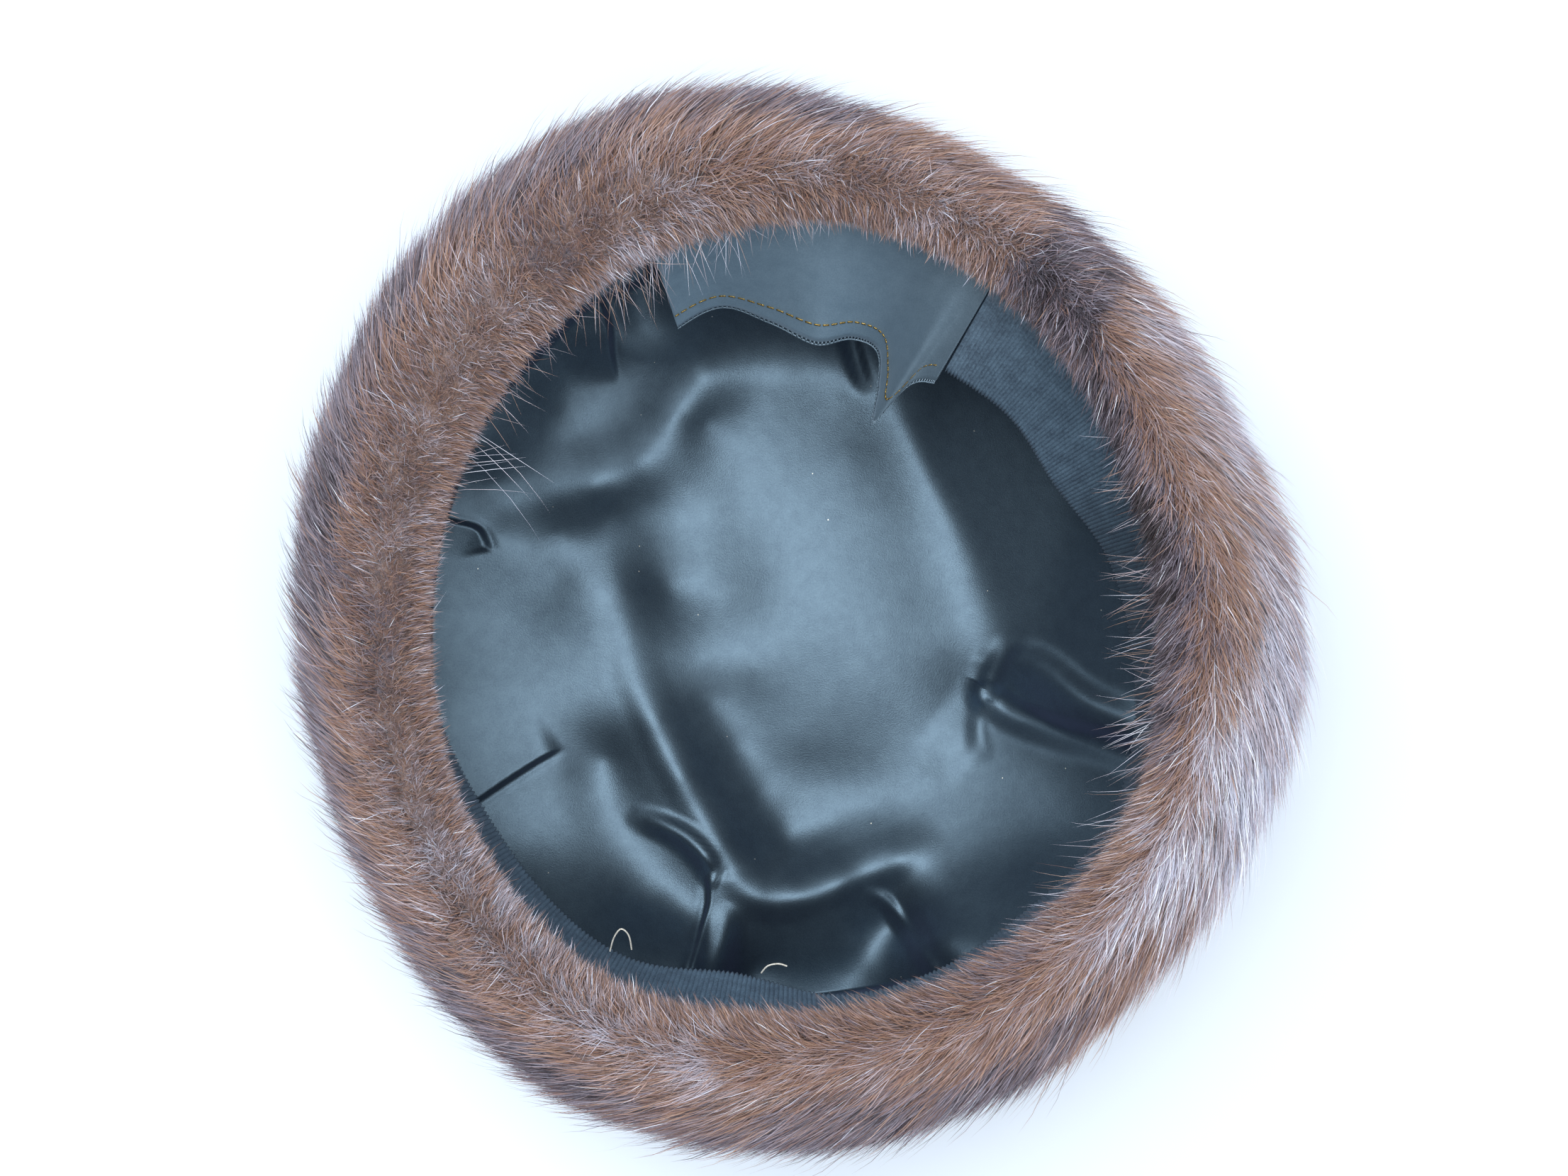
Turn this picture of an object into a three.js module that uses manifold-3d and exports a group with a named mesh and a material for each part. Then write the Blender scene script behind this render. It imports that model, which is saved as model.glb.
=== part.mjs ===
// Fur hat, lying upside down on its crown with the head opening up.
// Millimetres. +Z is up, +Y points to the back of the hat, where the label is, and +X to the side that is the
// wearer's right. The origin is on the floor under the middle of the crown.
import * as THREE from 'three';
import { mergeVertices } from 'three/addons/utils/BufferGeometryUtils.js';
import Module from 'manifold-3d';

const wasm = await Module();
wasm.setup();

// Whole hat
const hatHeight = 115;
const openingRadius = 86.5;
const girthRadius = 124.5;

// Fur. lockRise is how far a lock's tip stands off its face, as a share of the lock's length.
const lockRise = 0.065;
const lockSink = 2.4;
const sideLock = { length: 56, width: 25, perRow: 15, lean: 20 };
const rimLock = { length: 46, width: 20, perRow: 13, lean: -14 };
const crownLock = { length: 52, width: 25, perRow: 12, lean: 22 };

// Cloth
const liningWall = 1.2;
const ribbonWidth = 25;
const ribbonWall = 1;
const labelWidth = 38;
const labelWall = 0.8;

// Fits
const pieceGap = 0.4;
const clothGap = 0.8;
const joinReach = 30;
const joinOverrun = 5;

// Facets
const shellSteps = 32;
const liningSteps = 36;
const liningRings = 11;
const ribbonSteps = 60;
const ribbonStrips = 2;
const labelSteps = 18;
const labelStrips = 4;

// Outline seen from above, a row every 30 degrees. opening and girth are shares of the mean radii.
const outlineRows = [
  { turn: 0, opening: 0.935, girth: 0.975 },
  { turn: 30, opening: 0.945, girth: 0.938 },
  { turn: 60, opening: 1.01, girth: 0.958 },
  { turn: 90, opening: 1.045, girth: 1.028 },
  { turn: 120, opening: 1.018, girth: 1.055 },
  { turn: 150, opening: 0.978, girth: 1.019 },
  { turn: 180, opening: 0.971, girth: 0.985 },
  { turn: 210, opening: 1.015, girth: 0.987 },
  { turn: 240, opening: 1.07, girth: 1.035 },
  { turn: 270, opening: 1.032, girth: 1.035 },
  { turn: 300, opening: 1.015, girth: 0.997 },
  { turn: 330, opening: 1.0, girth: 0.978 },
];

// Sections through the wall. out is a share of the way from the opening's edge to the girth, or of the way to
// the axis where it is negative, and up is a share of the height. Every face runs from the head opening over
// the rim, down the side and under the crown, and every back runs the other way behind it.
const rimFace = [
  { out: 0.12, up: 0.775 },
  { out: 0.055, up: 0.85 },
  { out: 0.1, up: 0.925 },
  { out: 0.22, up: 0.96 },
  { out: 0.38, up: 0.963 },
  { out: 0.55, up: 0.925 },
];
const rimBack = [
  { out: 0.51, up: 0.84 },
  { out: 0.36, up: 0.79 },
  { out: 0.2, up: 0.775 },
];
const sideFace = [
  { out: 0.565, up: 0.921 },
  { out: 0.76, up: 0.85 },
  { out: 0.91, up: 0.7 },
  { out: 0.965, up: 0.52 },
  { out: 0.91, up: 0.32 },
  { out: 0.72, up: 0.155 },
];
const sideBack = [
  { out: 0.49, up: 0.2 },
  { out: 0.59, up: 0.38 },
  { out: 0.59, up: 0.66 },
  { out: 0.525, up: 0.836 },
];
const crownFace = [
  { out: 0.705, up: 0.149 },
  { out: 0.48, up: 0.066 },
  { out: 0.18, up: 0.018 },
  { out: -0.16, up: -0.008 },
];
const crownBack = [
  { out: 0, up: 0.113 },
  { out: 0.3, up: 0.135 },
  { out: 0.475, up: 0.194 },
];
const crownPole = { face: -0.02, back: 0.113 };
const seamOut = 0.15;

// Rows of locks. Each is where a row starts on its face, as a share of the way down it.
const sideLockRows = [0.09, 0.31, 0.53, 0.74];
const rimLockRows = [0.36, 0.6, 0.86];
const crownLockRows = [0.12];

// Lining from its seam down to the middle. reach is a share of the seam's radius at that turn, and rise a share
// of the way up from the crown to the seam.
const liningRows = [
  { reach: 1, rise: 1 },
  { reach: 1.03, rise: 0.83 },
  { reach: 1.015, rise: 0.64 },
  { reach: 0.96, rise: 0.44 },
  { reach: 0.855, rise: 0.26 },
  { reach: 0.71, rise: 0.12 },
  { reach: 0.54, rise: 0.05 },
  { reach: 0.345, rise: 0.02 },
  { reach: 0.16, rise: 0 },
];

// Darts round the lining's edge. end is how far down the lining a dart runs, depth how far its flap stands in
// as a share of the opening's radius, and side the way that the flap lies.
const dartRows = [
  { turn: 26, end: 0.62, depth: 0.035, side: 1 },
  { turn: 78, end: 0.58, depth: 0.035, side: -1 },
  { turn: 124, end: 0.6, depth: 0.06, side: 1 },
  { turn: 167, end: 0.5, depth: 0.035, side: -1 },
  { turn: 211, end: 0.57, depth: 0.04, side: 1 },
  { turn: 252, end: 0.57, depth: 0.04, side: -1 },
  { turn: 288, end: 0.57, depth: 0.045, side: 1 },
  { turn: 337, end: 0.72, depth: 0.06, side: -1 },
];
const dartSpread = 15;
const dartCrease = 1.2;

// Soft folds that stand up from the lining's floor. All are shares of the opening's radius.
const foldRows = [
  { x: -0.6, y: 0.3, toX: -0.4, toY: -0.22, height: 0.13, width: 0.24 },
  { x: -0.4, y: -0.22, toX: -0.2, toY: -0.62, height: 0.15, width: 0.22 },
  { x: -0.2, y: -0.62, toX: 0.04, toY: -0.74, height: 0.13, width: 0.2 },
  { x: 0.04, y: -0.74, toX: 0.44, toY: -0.56, height: 0.12, width: 0.2 },
  { x: -0.6, y: 0.58, toX: -0.06, toY: 0.46, height: 0.12, width: 0.26 },
  { x: 0.14, y: 0.34, toX: 0.34, toY: -0.06, height: 0.11, width: 0.36 },
  { x: 0.5, y: -0.12, toX: 0.78, toY: -0.24, height: 0.1, width: 0.22 },
  { x: 0.5, y: 0.46, toX: 0.76, toY: 0.28, height: 0.1, width: 0.24 },
];

// Ribbon, in even steps clockwise from the label's turned-down end. sag is how far the free edge hangs in from
// the seam, as a share of the ribbon's width.
const ribbonTurns = { start: 60, end: -246 };
const ribbonRows = [
  { sag: 0.86 },
  { sag: 0.68 },
  { sag: 0.62 },
  { sag: 0.34 },
  { sag: 0.2 },
  { sag: 0.1 },
  { sag: 0.06 },
  { sag: 0.1 },
  { sag: 0.06 },
  { sag: 0.1 },
  { sag: 0.34 },
  { sag: 0.2 },
  { sag: 0.16 },
  { sag: 0.18 },
  { sag: 0.14 },
  { sag: 0.12 },
  { sag: 0.12 },
  { sag: 0.1 },
  { sag: 0.12 },
  { sag: 0.2 },
];

// Label, from its cut end to the end that is turned down. Its upper edge is sewn at turn, and its lower edge is
// at low, reach in from the seam and drop down from it, both as shares of the label's width.
const labelRows = [
  { turn: 112, low: 112.5, reach: 0.42, drop: 0.89 },
  { turn: 104, low: 104, reach: 0.4, drop: 0.91 },
  { turn: 95, low: 96, reach: 0.58, drop: 0.8 },
  { turn: 87, low: 87, reach: 0.74, drop: 0.68 },
  { turn: 79, low: 79.5, reach: 0.63, drop: 0.76 },
  { turn: 72, low: 74, reach: 0.66, drop: 0.76 },
  { turn: 67, low: 71.5, reach: 0.86, drop: 0.72 },
  { turn: 64, low: 69.7, reach: 1.08, drop: 0.62 },
  { turn: 61.2, low: 63.2, reach: 0.5, drop: 0.38 },
];

const radians = Math.PI / 180;

// A value between -1 and 1 that is the same each time for the same numbers.
function scatter(a, b) {
  const wild = Math.sin(a * 12.9898 + b * 78.233) * 43758.5453;
  return 2 * (wild - Math.floor(wild)) - 1;
}

function catmull(before, from, to, after, share) {
  const bend = 2 * before - 5 * from + 4 * to - after;
  const twist = 3 * from - before - 3 * to + after;
  return 0.5 * (2 * from + (to - before) * share + bend * share ** 2 + twist * share ** 3);
}

// The value of a column at a share of the way down an open table.
function rowValue(rows, column, share) {
  const last = rows.length - 1;
  const place = Math.min(Math.max(share, 0), 1) * last;
  const row = Math.min(Math.floor(place), last - 1);
  const pick = (index) => rows[Math.min(Math.max(index, 0), last)][column];
  return catmull(pick(row - 1), pick(row), pick(row + 1), pick(row + 2), place - row);
}

// The value of a column of the outline at a turn in degrees.
function outlineValue(column, turn) {
  const count = outlineRows.length;
  const place = ((((turn % 360) + 360) % 360) / 360) * count;
  const row = Math.floor(place);
  const pick = (index) => outlineRows[(index + count) % count][column];
  return catmull(pick(row - 1), pick(row), pick(row + 1), pick(row + 2), place - row);
}

function openingAt(turn) {
  return openingRadius * outlineValue('opening', turn);
}

function girthAt(turn) {
  return girthRadius * outlineValue('girth', turn);
}

function polar(turn, radius, height) {
  return new THREE.Vector3(radius * Math.cos(turn * radians), radius * Math.sin(turn * radians), height);
}

// A point of the wall from its shares out and up.
function wallPoint(turn, out, up) {
  const opening = openingAt(turn);
  const radius = out < 0 ? opening * (1 + out) : opening + out * (girthAt(turn) - opening);
  return polar(turn, radius, up * hatHeight);
}

function facePoint(face, turn, along) {
  return wallPoint(turn, rowValue(face, 'out', along), rowValue(face, 'up', along));
}

// The way out of a face at a point of it.
function faceNormal(face, turn, along) {
  const step = 0.01;
  const round = facePoint(face, turn + 1, along).sub(facePoint(face, turn - 1, along));
  const ahead = facePoint(face, turn, Math.min(along + step, 1));
  const behind = facePoint(face, turn, Math.max(along - step, 0));
  return ahead.sub(behind).cross(round).normalize();
}

function signedVolume(points, faces) {
  let volume = 0;
  for (const [a, b, c] of faces) {
    volume += points[a].dot(points[b].clone().cross(points[c])) / 6;
  }
  return volume;
}

// A solid from its points and triangles, turned inside out if its faces point in.
function makeSolid(points, faces) {
  const outward = signedVolume(points, faces) > 0;
  const turned = faces.map(([a, b, c]) => (outward ? [a, b, c] : [a, c, b]));
  const geometry = new THREE.BufferGeometry();
  geometry.setAttribute('position', new THREE.Float32BufferAttribute(points.flatMap((p) => p.toArray()), 3));
  geometry.setIndex(turned.flat());
  const merged = mergeVertices(geometry, 1e-4);
  return new wasm.Manifold(
    new wasm.Mesh({
      numProp: 3,
      vertProperties: merged.attributes.position.array,
      triVerts: Uint32Array.from(merged.index.array),
    }),
  );
}

// Quads between neighbouring rows of a grid. wrapRows and wrapColumns close it round.
function gridFaces(rows, columns, wrapRows, wrapColumns) {
  const faces = [];
  for (let row = 0; row < (wrapRows ? rows : rows - 1); row += 1) {
    for (let column = 0; column < (wrapColumns ? columns : columns - 1); column += 1) {
      const nextRow = ((row + 1) % rows) * columns;
      const nextColumn = (column + 1) % columns;
      const a = row * columns + column;
      const b = row * columns + nextColumn;
      const c = nextRow + nextColumn;
      const d = nextRow + column;
      faces.push([a, b, c], [a, c, d]);
    }
  }
  return faces;
}

// A closed ring whose section is the loop of rows.
function ringSolid(loop) {
  const points = [];
  for (let step = 0; step < shellSteps; step += 1) {
    const turn = (step * 360) / shellSteps;
    points.push(...loop.map(({ out, up }) => wallPoint(turn, out, up)));
  }
  return makeSolid(points, gridFaces(shellSteps, loop.length, true, true));
}

// A closed disc whose section runs from the axis along the rows and back to the axis.
function discSolid(loop, startUp, endUp) {
  const points = [];
  for (let step = 0; step < shellSteps; step += 1) {
    const turn = (step * 360) / shellSteps;
    points.push(...loop.map(({ out, up }) => wallPoint(turn, out, up)));
  }
  const faces = gridFaces(shellSteps, loop.length, true, false);
  const startPole = points.push(polar(0, 0, startUp * hatHeight)) - 1;
  const endPole = points.push(polar(0, 0, endUp * hatHeight)) - 1;
  for (let step = 0; step < shellSteps; step += 1) {
    const here = step * loop.length;
    const next = ((step + 1) % shellSteps) * loop.length;
    faces.push([startPole, here, next]);
    faces.push([endPole, next + loop.length - 1, here + loop.length - 1]);
  }
  return makeSolid(points, faces);
}

// Length of a face's section at a turn.
function faceLength(face, turn) {
  let length = 0;
  const pieces = 24;
  for (let piece = 0; piece < pieces; piece += 1) {
    const from = facePoint(face, turn, piece / pieces);
    length += from.distanceTo(facePoint(face, turn, (piece + 1) / pieces));
  }
  return length;
}

// One lock of fur. It starts under the face, lies clockwise along it and ends in a point that stands off.
function furLock(face, turn, along, size) {
  const deep = faceLength(face, turn);
  const reach = facePoint(face, turn, along);
  const radius = Math.max(Math.hypot(reach.x, reach.y), size.width);
  const stations = [
    { share: 0, half: 0, top: -1 },
    { share: 0.34, half: 0.5, top: 0.62 },
    { share: 0.72, half: 0.36, top: 1 },
    { share: 1, half: 0, top: 0.8 },
  ];
  const centre = (share) => ({
    turn: turn - (Math.cos(size.lean * radians) * size.length * share) / radius / radians,
    along: along + (Math.sin(size.lean * radians) * size.length * share) / deep,
  });
  const points = [];
  for (const { share, half, top } of stations) {
    const at = centre(share);
    const ahead = centre(share + 0.02);
    const base = facePoint(face, at.turn, at.along);
    const normal = faceNormal(face, at.turn, at.along);
    const run = facePoint(face, ahead.turn, ahead.along).sub(base).normalize();
    const across = normal.clone().cross(run).multiplyScalar(half * size.width);
    if (half === 0) {
      const lift = top < 0 ? -lockSink : top * size.lift;
      points.push(base.clone().addScaledVector(normal, lift));
    } else {
      const low = base.clone().addScaledVector(normal, -lockSink);
      points.push(low.clone().add(across), low.clone().sub(across));
      points.push(base.clone().addScaledVector(normal, top * size.lift));
    }
  }
  const faces = [];
  const corners = 3;
  for (let corner = 0; corner < corners; corner += 1) {
    const next = (corner + 1) % corners;
    faces.push([0, 1 + next, 1 + corner]);
    faces.push([1 + corner, 1 + next, 4 + next], [1 + corner, 4 + next, 4 + corner]);
    faces.push([7, 4 + corner, 4 + next]);
  }
  return makeSolid(points, faces);
}

// Rows of locks over a face, each row half a step on from the last.
function furLocks(face, rows, lock) {
  const locks = [];
  rows.forEach((along, row) => {
    for (let index = 0; index < lock.perRow; index += 1) {
      const turn = ((index + (row % 2) / 2 + 0.14 * scatter(index, row)) * 360) / lock.perRow;
      const length = lock.length * (1 + 0.12 * scatter(index + 3, row));
      const size = {
        length,
        width: lock.width * (1 + 0.1 * scatter(index + 7, row)),
        lift: lockRise * length * (1 + 0.25 * scatter(index + 11, row)),
        lean: lock.lean * (1 + 0.3 * scatter(index + 17, row)),
      };
      locks.push(furLock(face, turn, along + 0.02 * scatter(index + 23, row), size));
    }
  });
  return locks;
}

// The largest body of a solid, without the shells of spaces shut inside it.
function outerBody(solid) {
  return solid.decompose().reduce((best, body) => (body.volume() > best.volume() ? body : best));
}

// A ring that fills one side of the join between two pieces and half the gap, to be cut out of the locks that
// reach over from the other side. The join runs midway between their edges, from its inner end to its outer.
function joinSide(inner, outer, way) {
  const band = girthRadius - openingRadius;
  const middle = (pair) => ({ out: (pair[0].out + pair[1].out) / 2, up: (pair[0].up + pair[1].up) / 2 });
  const [from, to] = [middle(inner), middle(outer)];
  const run = new THREE.Vector2((to.out - from.out) * band, (to.up - from.up) * hatHeight).normalize();
  const aside = new THREE.Vector2(-run.y, run.x).multiplyScalar(way);
  const corner = (row, forward, away) => ({
    out: row.out + (run.x * forward + aside.x * away) / band,
    up: row.up + (run.y * forward + aside.y * away) / hatHeight,
  });
  return ringSolid([
    corner(to, joinReach, -pieceGap / 2),
    corner(from, -joinOverrun, -pieceGap / 2),
    corner(from, -joinOverrun, joinReach),
    corner(to, joinReach, joinReach),
  ]);
}

// A cloth wall from the middle of its thickness, closed round its edges.
function clothSolid(points, faces, wall) {
  const normals = points.map(() => new THREE.Vector3());
  const uses = new Set();
  for (const [a, b, c] of faces) {
    const normal = points[b].clone().sub(points[a]).cross(points[c].clone().sub(points[a]));
    [a, b, c].forEach((corner) => normals[corner].add(normal));
    [[a, b], [b, c], [c, a]].forEach(([from, to]) => uses.add(`${from} ${to}`));
  }
  const shift = (way) => points.map((p, i) => p.clone().addScaledVector(normals[i].clone().normalize(), way));
  const count = points.length;
  const walls = [];
  for (const use of uses) {
    const [from, to] = use.split(' ').map(Number);
    if (!uses.has(`${to} ${from}`)) {
      walls.push([to, from, from + count], [to, from + count, to + count]);
    }
  }
  const below = faces.map(([a, b, c]) => [a + count, c + count, b + count]);
  return makeSolid([...shift(wall / 2), ...shift(-wall / 2)], [...faces, ...below, ...walls]);
}

function meshFrom(solid, name, color, roughness) {
  const { vertProperties, triVerts, numProp } = solid.getMesh();
  const geometry = new THREE.BufferGeometry();
  const positions = [];
  for (let start = 0; start < vertProperties.length; start += numProp) {
    positions.push(vertProperties[start], vertProperties[start + 1], vertProperties[start + 2]);
  }
  geometry.setAttribute('position', new THREE.Float32BufferAttribute(positions, 3));
  geometry.setIndex(Array.from(triVerts));
  geometry.computeVertexNormals();
  const mesh = new THREE.Mesh(geometry, new THREE.MeshStandardMaterial({ color, roughness, metalness: 0 }));
  mesh.name = name;
  return mesh;
}

function furRimStrip() {
  const shell = ringSolid([...rimFace, ...rimBack]);
  const fur = wasm.Manifold.union([shell, ...furLocks(rimFace, rimLockRows, rimLock)]);
  return outerBody(fur.subtract(joinSide(...rimJoin, -1)).trimByPlane([0, 0, 1], rimFace[0].up * hatHeight));
}

function furSideBand() {
  const shell = ringSolid([...sideFace, ...sideBack]);
  const fur = wasm.Manifold.union([shell, ...furLocks(sideFace, sideLockRows, sideLock)]);
  return outerBody(fur.subtract(joinSide(...rimJoin, 1)).subtract(joinSide(...crownJoin, -1)));
}

// The crown's face dips below the floor in the middle, and the floor presses it flat.
function furCrownTip() {
  const loop = [...crownBack, ...crownFace];
  const shell = discSolid(loop, crownPole.back, crownPole.face);
  const fur = wasm.Manifold.union([shell, ...furLocks(crownFace, crownLockRows, crownLock)]);
  return outerBody(fur.subtract(joinSide(...crownJoin, 1)).trimByPlane([0, 0, 1], 0));
}

// The seam under the rim that carries a cloth piece of a given wall, a little way in from it or out.
function seamPoint(turn, wall, outward) {
  const seam = wallPoint(turn, seamOut, rimFace[0].up);
  return polar(turn, Math.hypot(seam.x, seam.y) + outward, seam.z - pieceGap - wall / 2);
}

// How far a soft fold lifts the lining at a point.
function foldLift(x, y) {
  let lift = 0;
  for (const fold of foldRows) {
    const from = new THREE.Vector2(fold.x, fold.y).multiplyScalar(openingRadius);
    const run = new THREE.Vector2(fold.toX, fold.toY).multiplyScalar(openingRadius).sub(from);
    const here = new THREE.Vector2(x, y).sub(from);
    const share = Math.min(Math.max(here.dot(run) / run.lengthSq(), 0), 1);
    const away = here.distanceTo(run.multiplyScalar(share)) / (fold.width * openingRadius);
    lift = Math.max(lift, fold.height * openingRadius * Math.max(1 - away ** 2, 0) ** 2);
  }
  return lift;
}

// How far the darts' flaps stand in at a turn, at a share of the way down the lining.
function dartDepth(turn, along) {
  let depth = 0;
  for (const dart of dartRows) {
    const off = (((turn - dart.turn) * dart.side + 540) % 360) - 180;
    if (off > 0 && off < dartSpread && along < dart.end) {
      depth += dart.depth * openingRadius * (1 - off / dartSpread) * Math.sin((Math.PI * along) / dart.end);
    }
  }
  return depth;
}

function liningPoint(turn, along) {
  const outward = ribbonWall / 2 + clothGap + liningWall / 2;
  const seam = seamPoint(turn, liningWall, outward);
  const floor = crownPole.back * hatHeight + pieceGap + liningWall / 2;
  const radius = Math.hypot(seam.x, seam.y) * rowValue(liningRows, 'reach', along) - dartDepth(turn, along);
  const height = floor + (seam.z - floor) * Math.max(rowValue(liningRows, 'rise', along), 0);
  const point = polar(turn, radius, height);
  point.z += foldLift(point.x, point.y) * Math.min(along * 2, 1);
  return point;
}

function liningTurns() {
  const even = Array.from({ length: liningSteps }, (_, step) => (step * 360) / liningSteps);
  const creases = dartRows.flatMap(({ turn }) => [turn - dartCrease, turn + dartCrease]);
  const clear = even.filter((turn) => dartRows.every((dart) => Math.abs(turn - dart.turn) > 2 * dartCrease));
  return [...clear, ...creases].sort((a, b) => a - b);
}

function lining() {
  const turns = liningTurns();
  const points = [];
  for (const turn of turns) {
    for (let ring = 0; ring < liningRings; ring += 1) {
      points.push(liningPoint(turn, ring / (liningRings - 1)));
    }
  }
  const faces = gridFaces(turns.length, liningRings, true, false);
  const pole = points.push(liningPoint(0, 1).setX(0).setY(0)) - 1;
  turns.forEach((_, step) => {
    const next = (step + 1) % turns.length;
    faces.push([pole, (next + 1) * liningRings - 1, (step + 1) * liningRings - 1]);
  });
  return clothSolid(points, faces, liningWall);
}

function grosgrainRibbon() {
  const points = [];
  for (let step = 0; step <= ribbonSteps; step += 1) {
    const share = step / ribbonSteps;
    const turn = ribbonTurns.start + (ribbonTurns.end - ribbonTurns.start) * share;
    const seam = seamPoint(turn, ribbonWall, 0);
    const sag = rowValue(ribbonRows, 'sag', share);
    for (let strip = 0; strip <= ribbonStrips; strip += 1) {
      const down = (ribbonWidth * strip) / ribbonStrips;
      const radius = Math.hypot(seam.x, seam.y) - down * sag;
      points.push(polar(turn, radius, seam.z - down * Math.sqrt(1 - sag ** 2)));
    }
  }
  return clothSolid(points, gridFaces(ribbonSteps + 1, ribbonStrips + 1, false, false), ribbonWall);
}

function label() {
  const points = [];
  for (let step = 0; step <= labelSteps; step += 1) {
    const share = step / labelSteps;
    const row = (column) => rowValue(labelRows, column, share);
    const top = seamPoint(row('turn'), labelWall, 0);
    const lowSeam = seamPoint(row('low'), labelWall, 0);
    const lowRadius = Math.hypot(lowSeam.x, lowSeam.y) - row('reach') * labelWidth;
    const bottom = polar(row('low'), lowRadius, lowSeam.z - row('drop') * labelWidth);
    for (let strip = 0; strip <= labelStrips; strip += 1) {
      points.push(top.clone().lerp(bottom, strip / labelStrips));
    }
  }
  return clothSolid(points, gridFaces(labelSteps + 1, labelStrips + 1, false, false), labelWall);
}

const rimJoin = [[rimBack[0], sideBack[sideBack.length - 1]], [rimFace[rimFace.length - 1], sideFace[0]]];
const crownJoin = [[crownBack[crownBack.length - 1], sideBack[0]], [crownFace[0], sideFace[sideFace.length - 1]]];

const hat = new THREE.Group();
hat.add(meshFrom(furRimStrip(), 'fur_rim_strip', 0x86706b, 0.8));
hat.add(meshFrom(furSideBand(), 'fur_side_band', 0x6f6468, 0.8));
hat.add(meshFrom(furCrownTip(), 'fur_crown_tip', 0x6a5d60, 0.8));
hat.add(meshFrom(lining(), 'lining', 0x4d6672, 0.4));
hat.add(meshFrom(grosgrainRibbon(), 'grosgrain_ribbon', 0x4f6579, 0.7));
hat.add(meshFrom(label(), 'label', 0x5d7886, 0.4));

export default hat;
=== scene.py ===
"""Fur hat lying upside down on its crown: its looks, the camera and the light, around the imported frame.
Shapes are worked out in millimetres, in the frame of the CAD, and made in metres."""
import math

import bpy
import numpy as np
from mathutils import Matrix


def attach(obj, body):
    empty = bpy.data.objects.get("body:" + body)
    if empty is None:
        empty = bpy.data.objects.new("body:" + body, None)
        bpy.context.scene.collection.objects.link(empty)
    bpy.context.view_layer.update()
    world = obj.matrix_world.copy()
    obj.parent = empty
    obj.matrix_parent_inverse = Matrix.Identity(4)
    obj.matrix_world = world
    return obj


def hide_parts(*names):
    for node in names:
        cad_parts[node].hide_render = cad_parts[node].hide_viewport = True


MM = 0.001

# Whole hat
HAT_HEIGHT = 115
OPENING_RADIUS = 86.5
GIRTH_RADIUS = 124.5

# Cloth
RIBBON_WIDTH = 25
LABEL_WIDTH = 38
LINING_WALL = 1.2
RIBBON_WALL = 1.0
LABEL_WALL = 0.8
PIECE_GAP = 0.4
CLOTH_GAP = 0.8
SEAM_OUT = 0.15
SEAM_UP = 0.775
CROWN_BACK_UP = 0.113

# Outline seen from above: turn in degrees, then shares of the mean radii of the opening and of the girth.
OUTLINE = [
    (0, 0.935, 0.975),
    (30, 0.945, 0.938),
    (60, 1.01, 0.958),
    (90, 1.045, 1.028),
    (120, 1.018, 1.055),
    (150, 0.978, 1.019),
    (180, 0.971, 0.985),
    (210, 1.015, 0.987),
    (240, 1.07, 1.035),
    (270, 1.032, 1.035),
    (300, 1.015, 0.997),
    (330, 1.0, 0.978),
]

# The fur's face from the head opening over the rim, down the side and under the crown: out from the opening's
# edge as a share of the way to the girth, or to the axis where it is negative, and up as a share of the height.
RIM_FACE = [(0.12, 0.775), (0.055, 0.85), (0.1, 0.925), (0.22, 0.96), (0.38, 0.963), (0.55, 0.925)]
SIDE_FACE = [(0.565, 0.921), (0.76, 0.85), (0.91, 0.7), (0.965, 0.52), (0.91, 0.32), (0.72, 0.155)]
CROWN_FACE = [(0.705, 0.149), (0.48, 0.066), (0.18, 0.018), (-0.16, -0.008), (-1, -0.02)]
RIM_BACK = [(0.51, 0.84), (0.36, 0.79), (0.2, 0.775)]
SIDE_BACK = [(0.49, 0.2), (0.59, 0.38), (0.59, 0.66), (0.525, 0.836)]
CROWN_BACK = [(-1, 0.113), (0, 0.113), (0.3, 0.135), (0.475, 0.194)]

# Lining from its seam down to the middle: its reach as a share of the seam's radius, and its rise as a share
# of the way up from the crown to the seam.
LINING_ROWS = [
    (1, 1),
    (1.03, 0.83),
    (1.015, 0.64),
    (0.96, 0.44),
    (0.855, 0.26),
    (0.71, 0.12),
    (0.54, 0.05),
    (0.345, 0.02),
    (0.16, 0),
    (0.001, 0),
]

# How far the lining bulges out under the rim, and the middle of the turns where it does.
LINING_BULGE, LINING_BULGE_TURN = 4.5, 190

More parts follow.
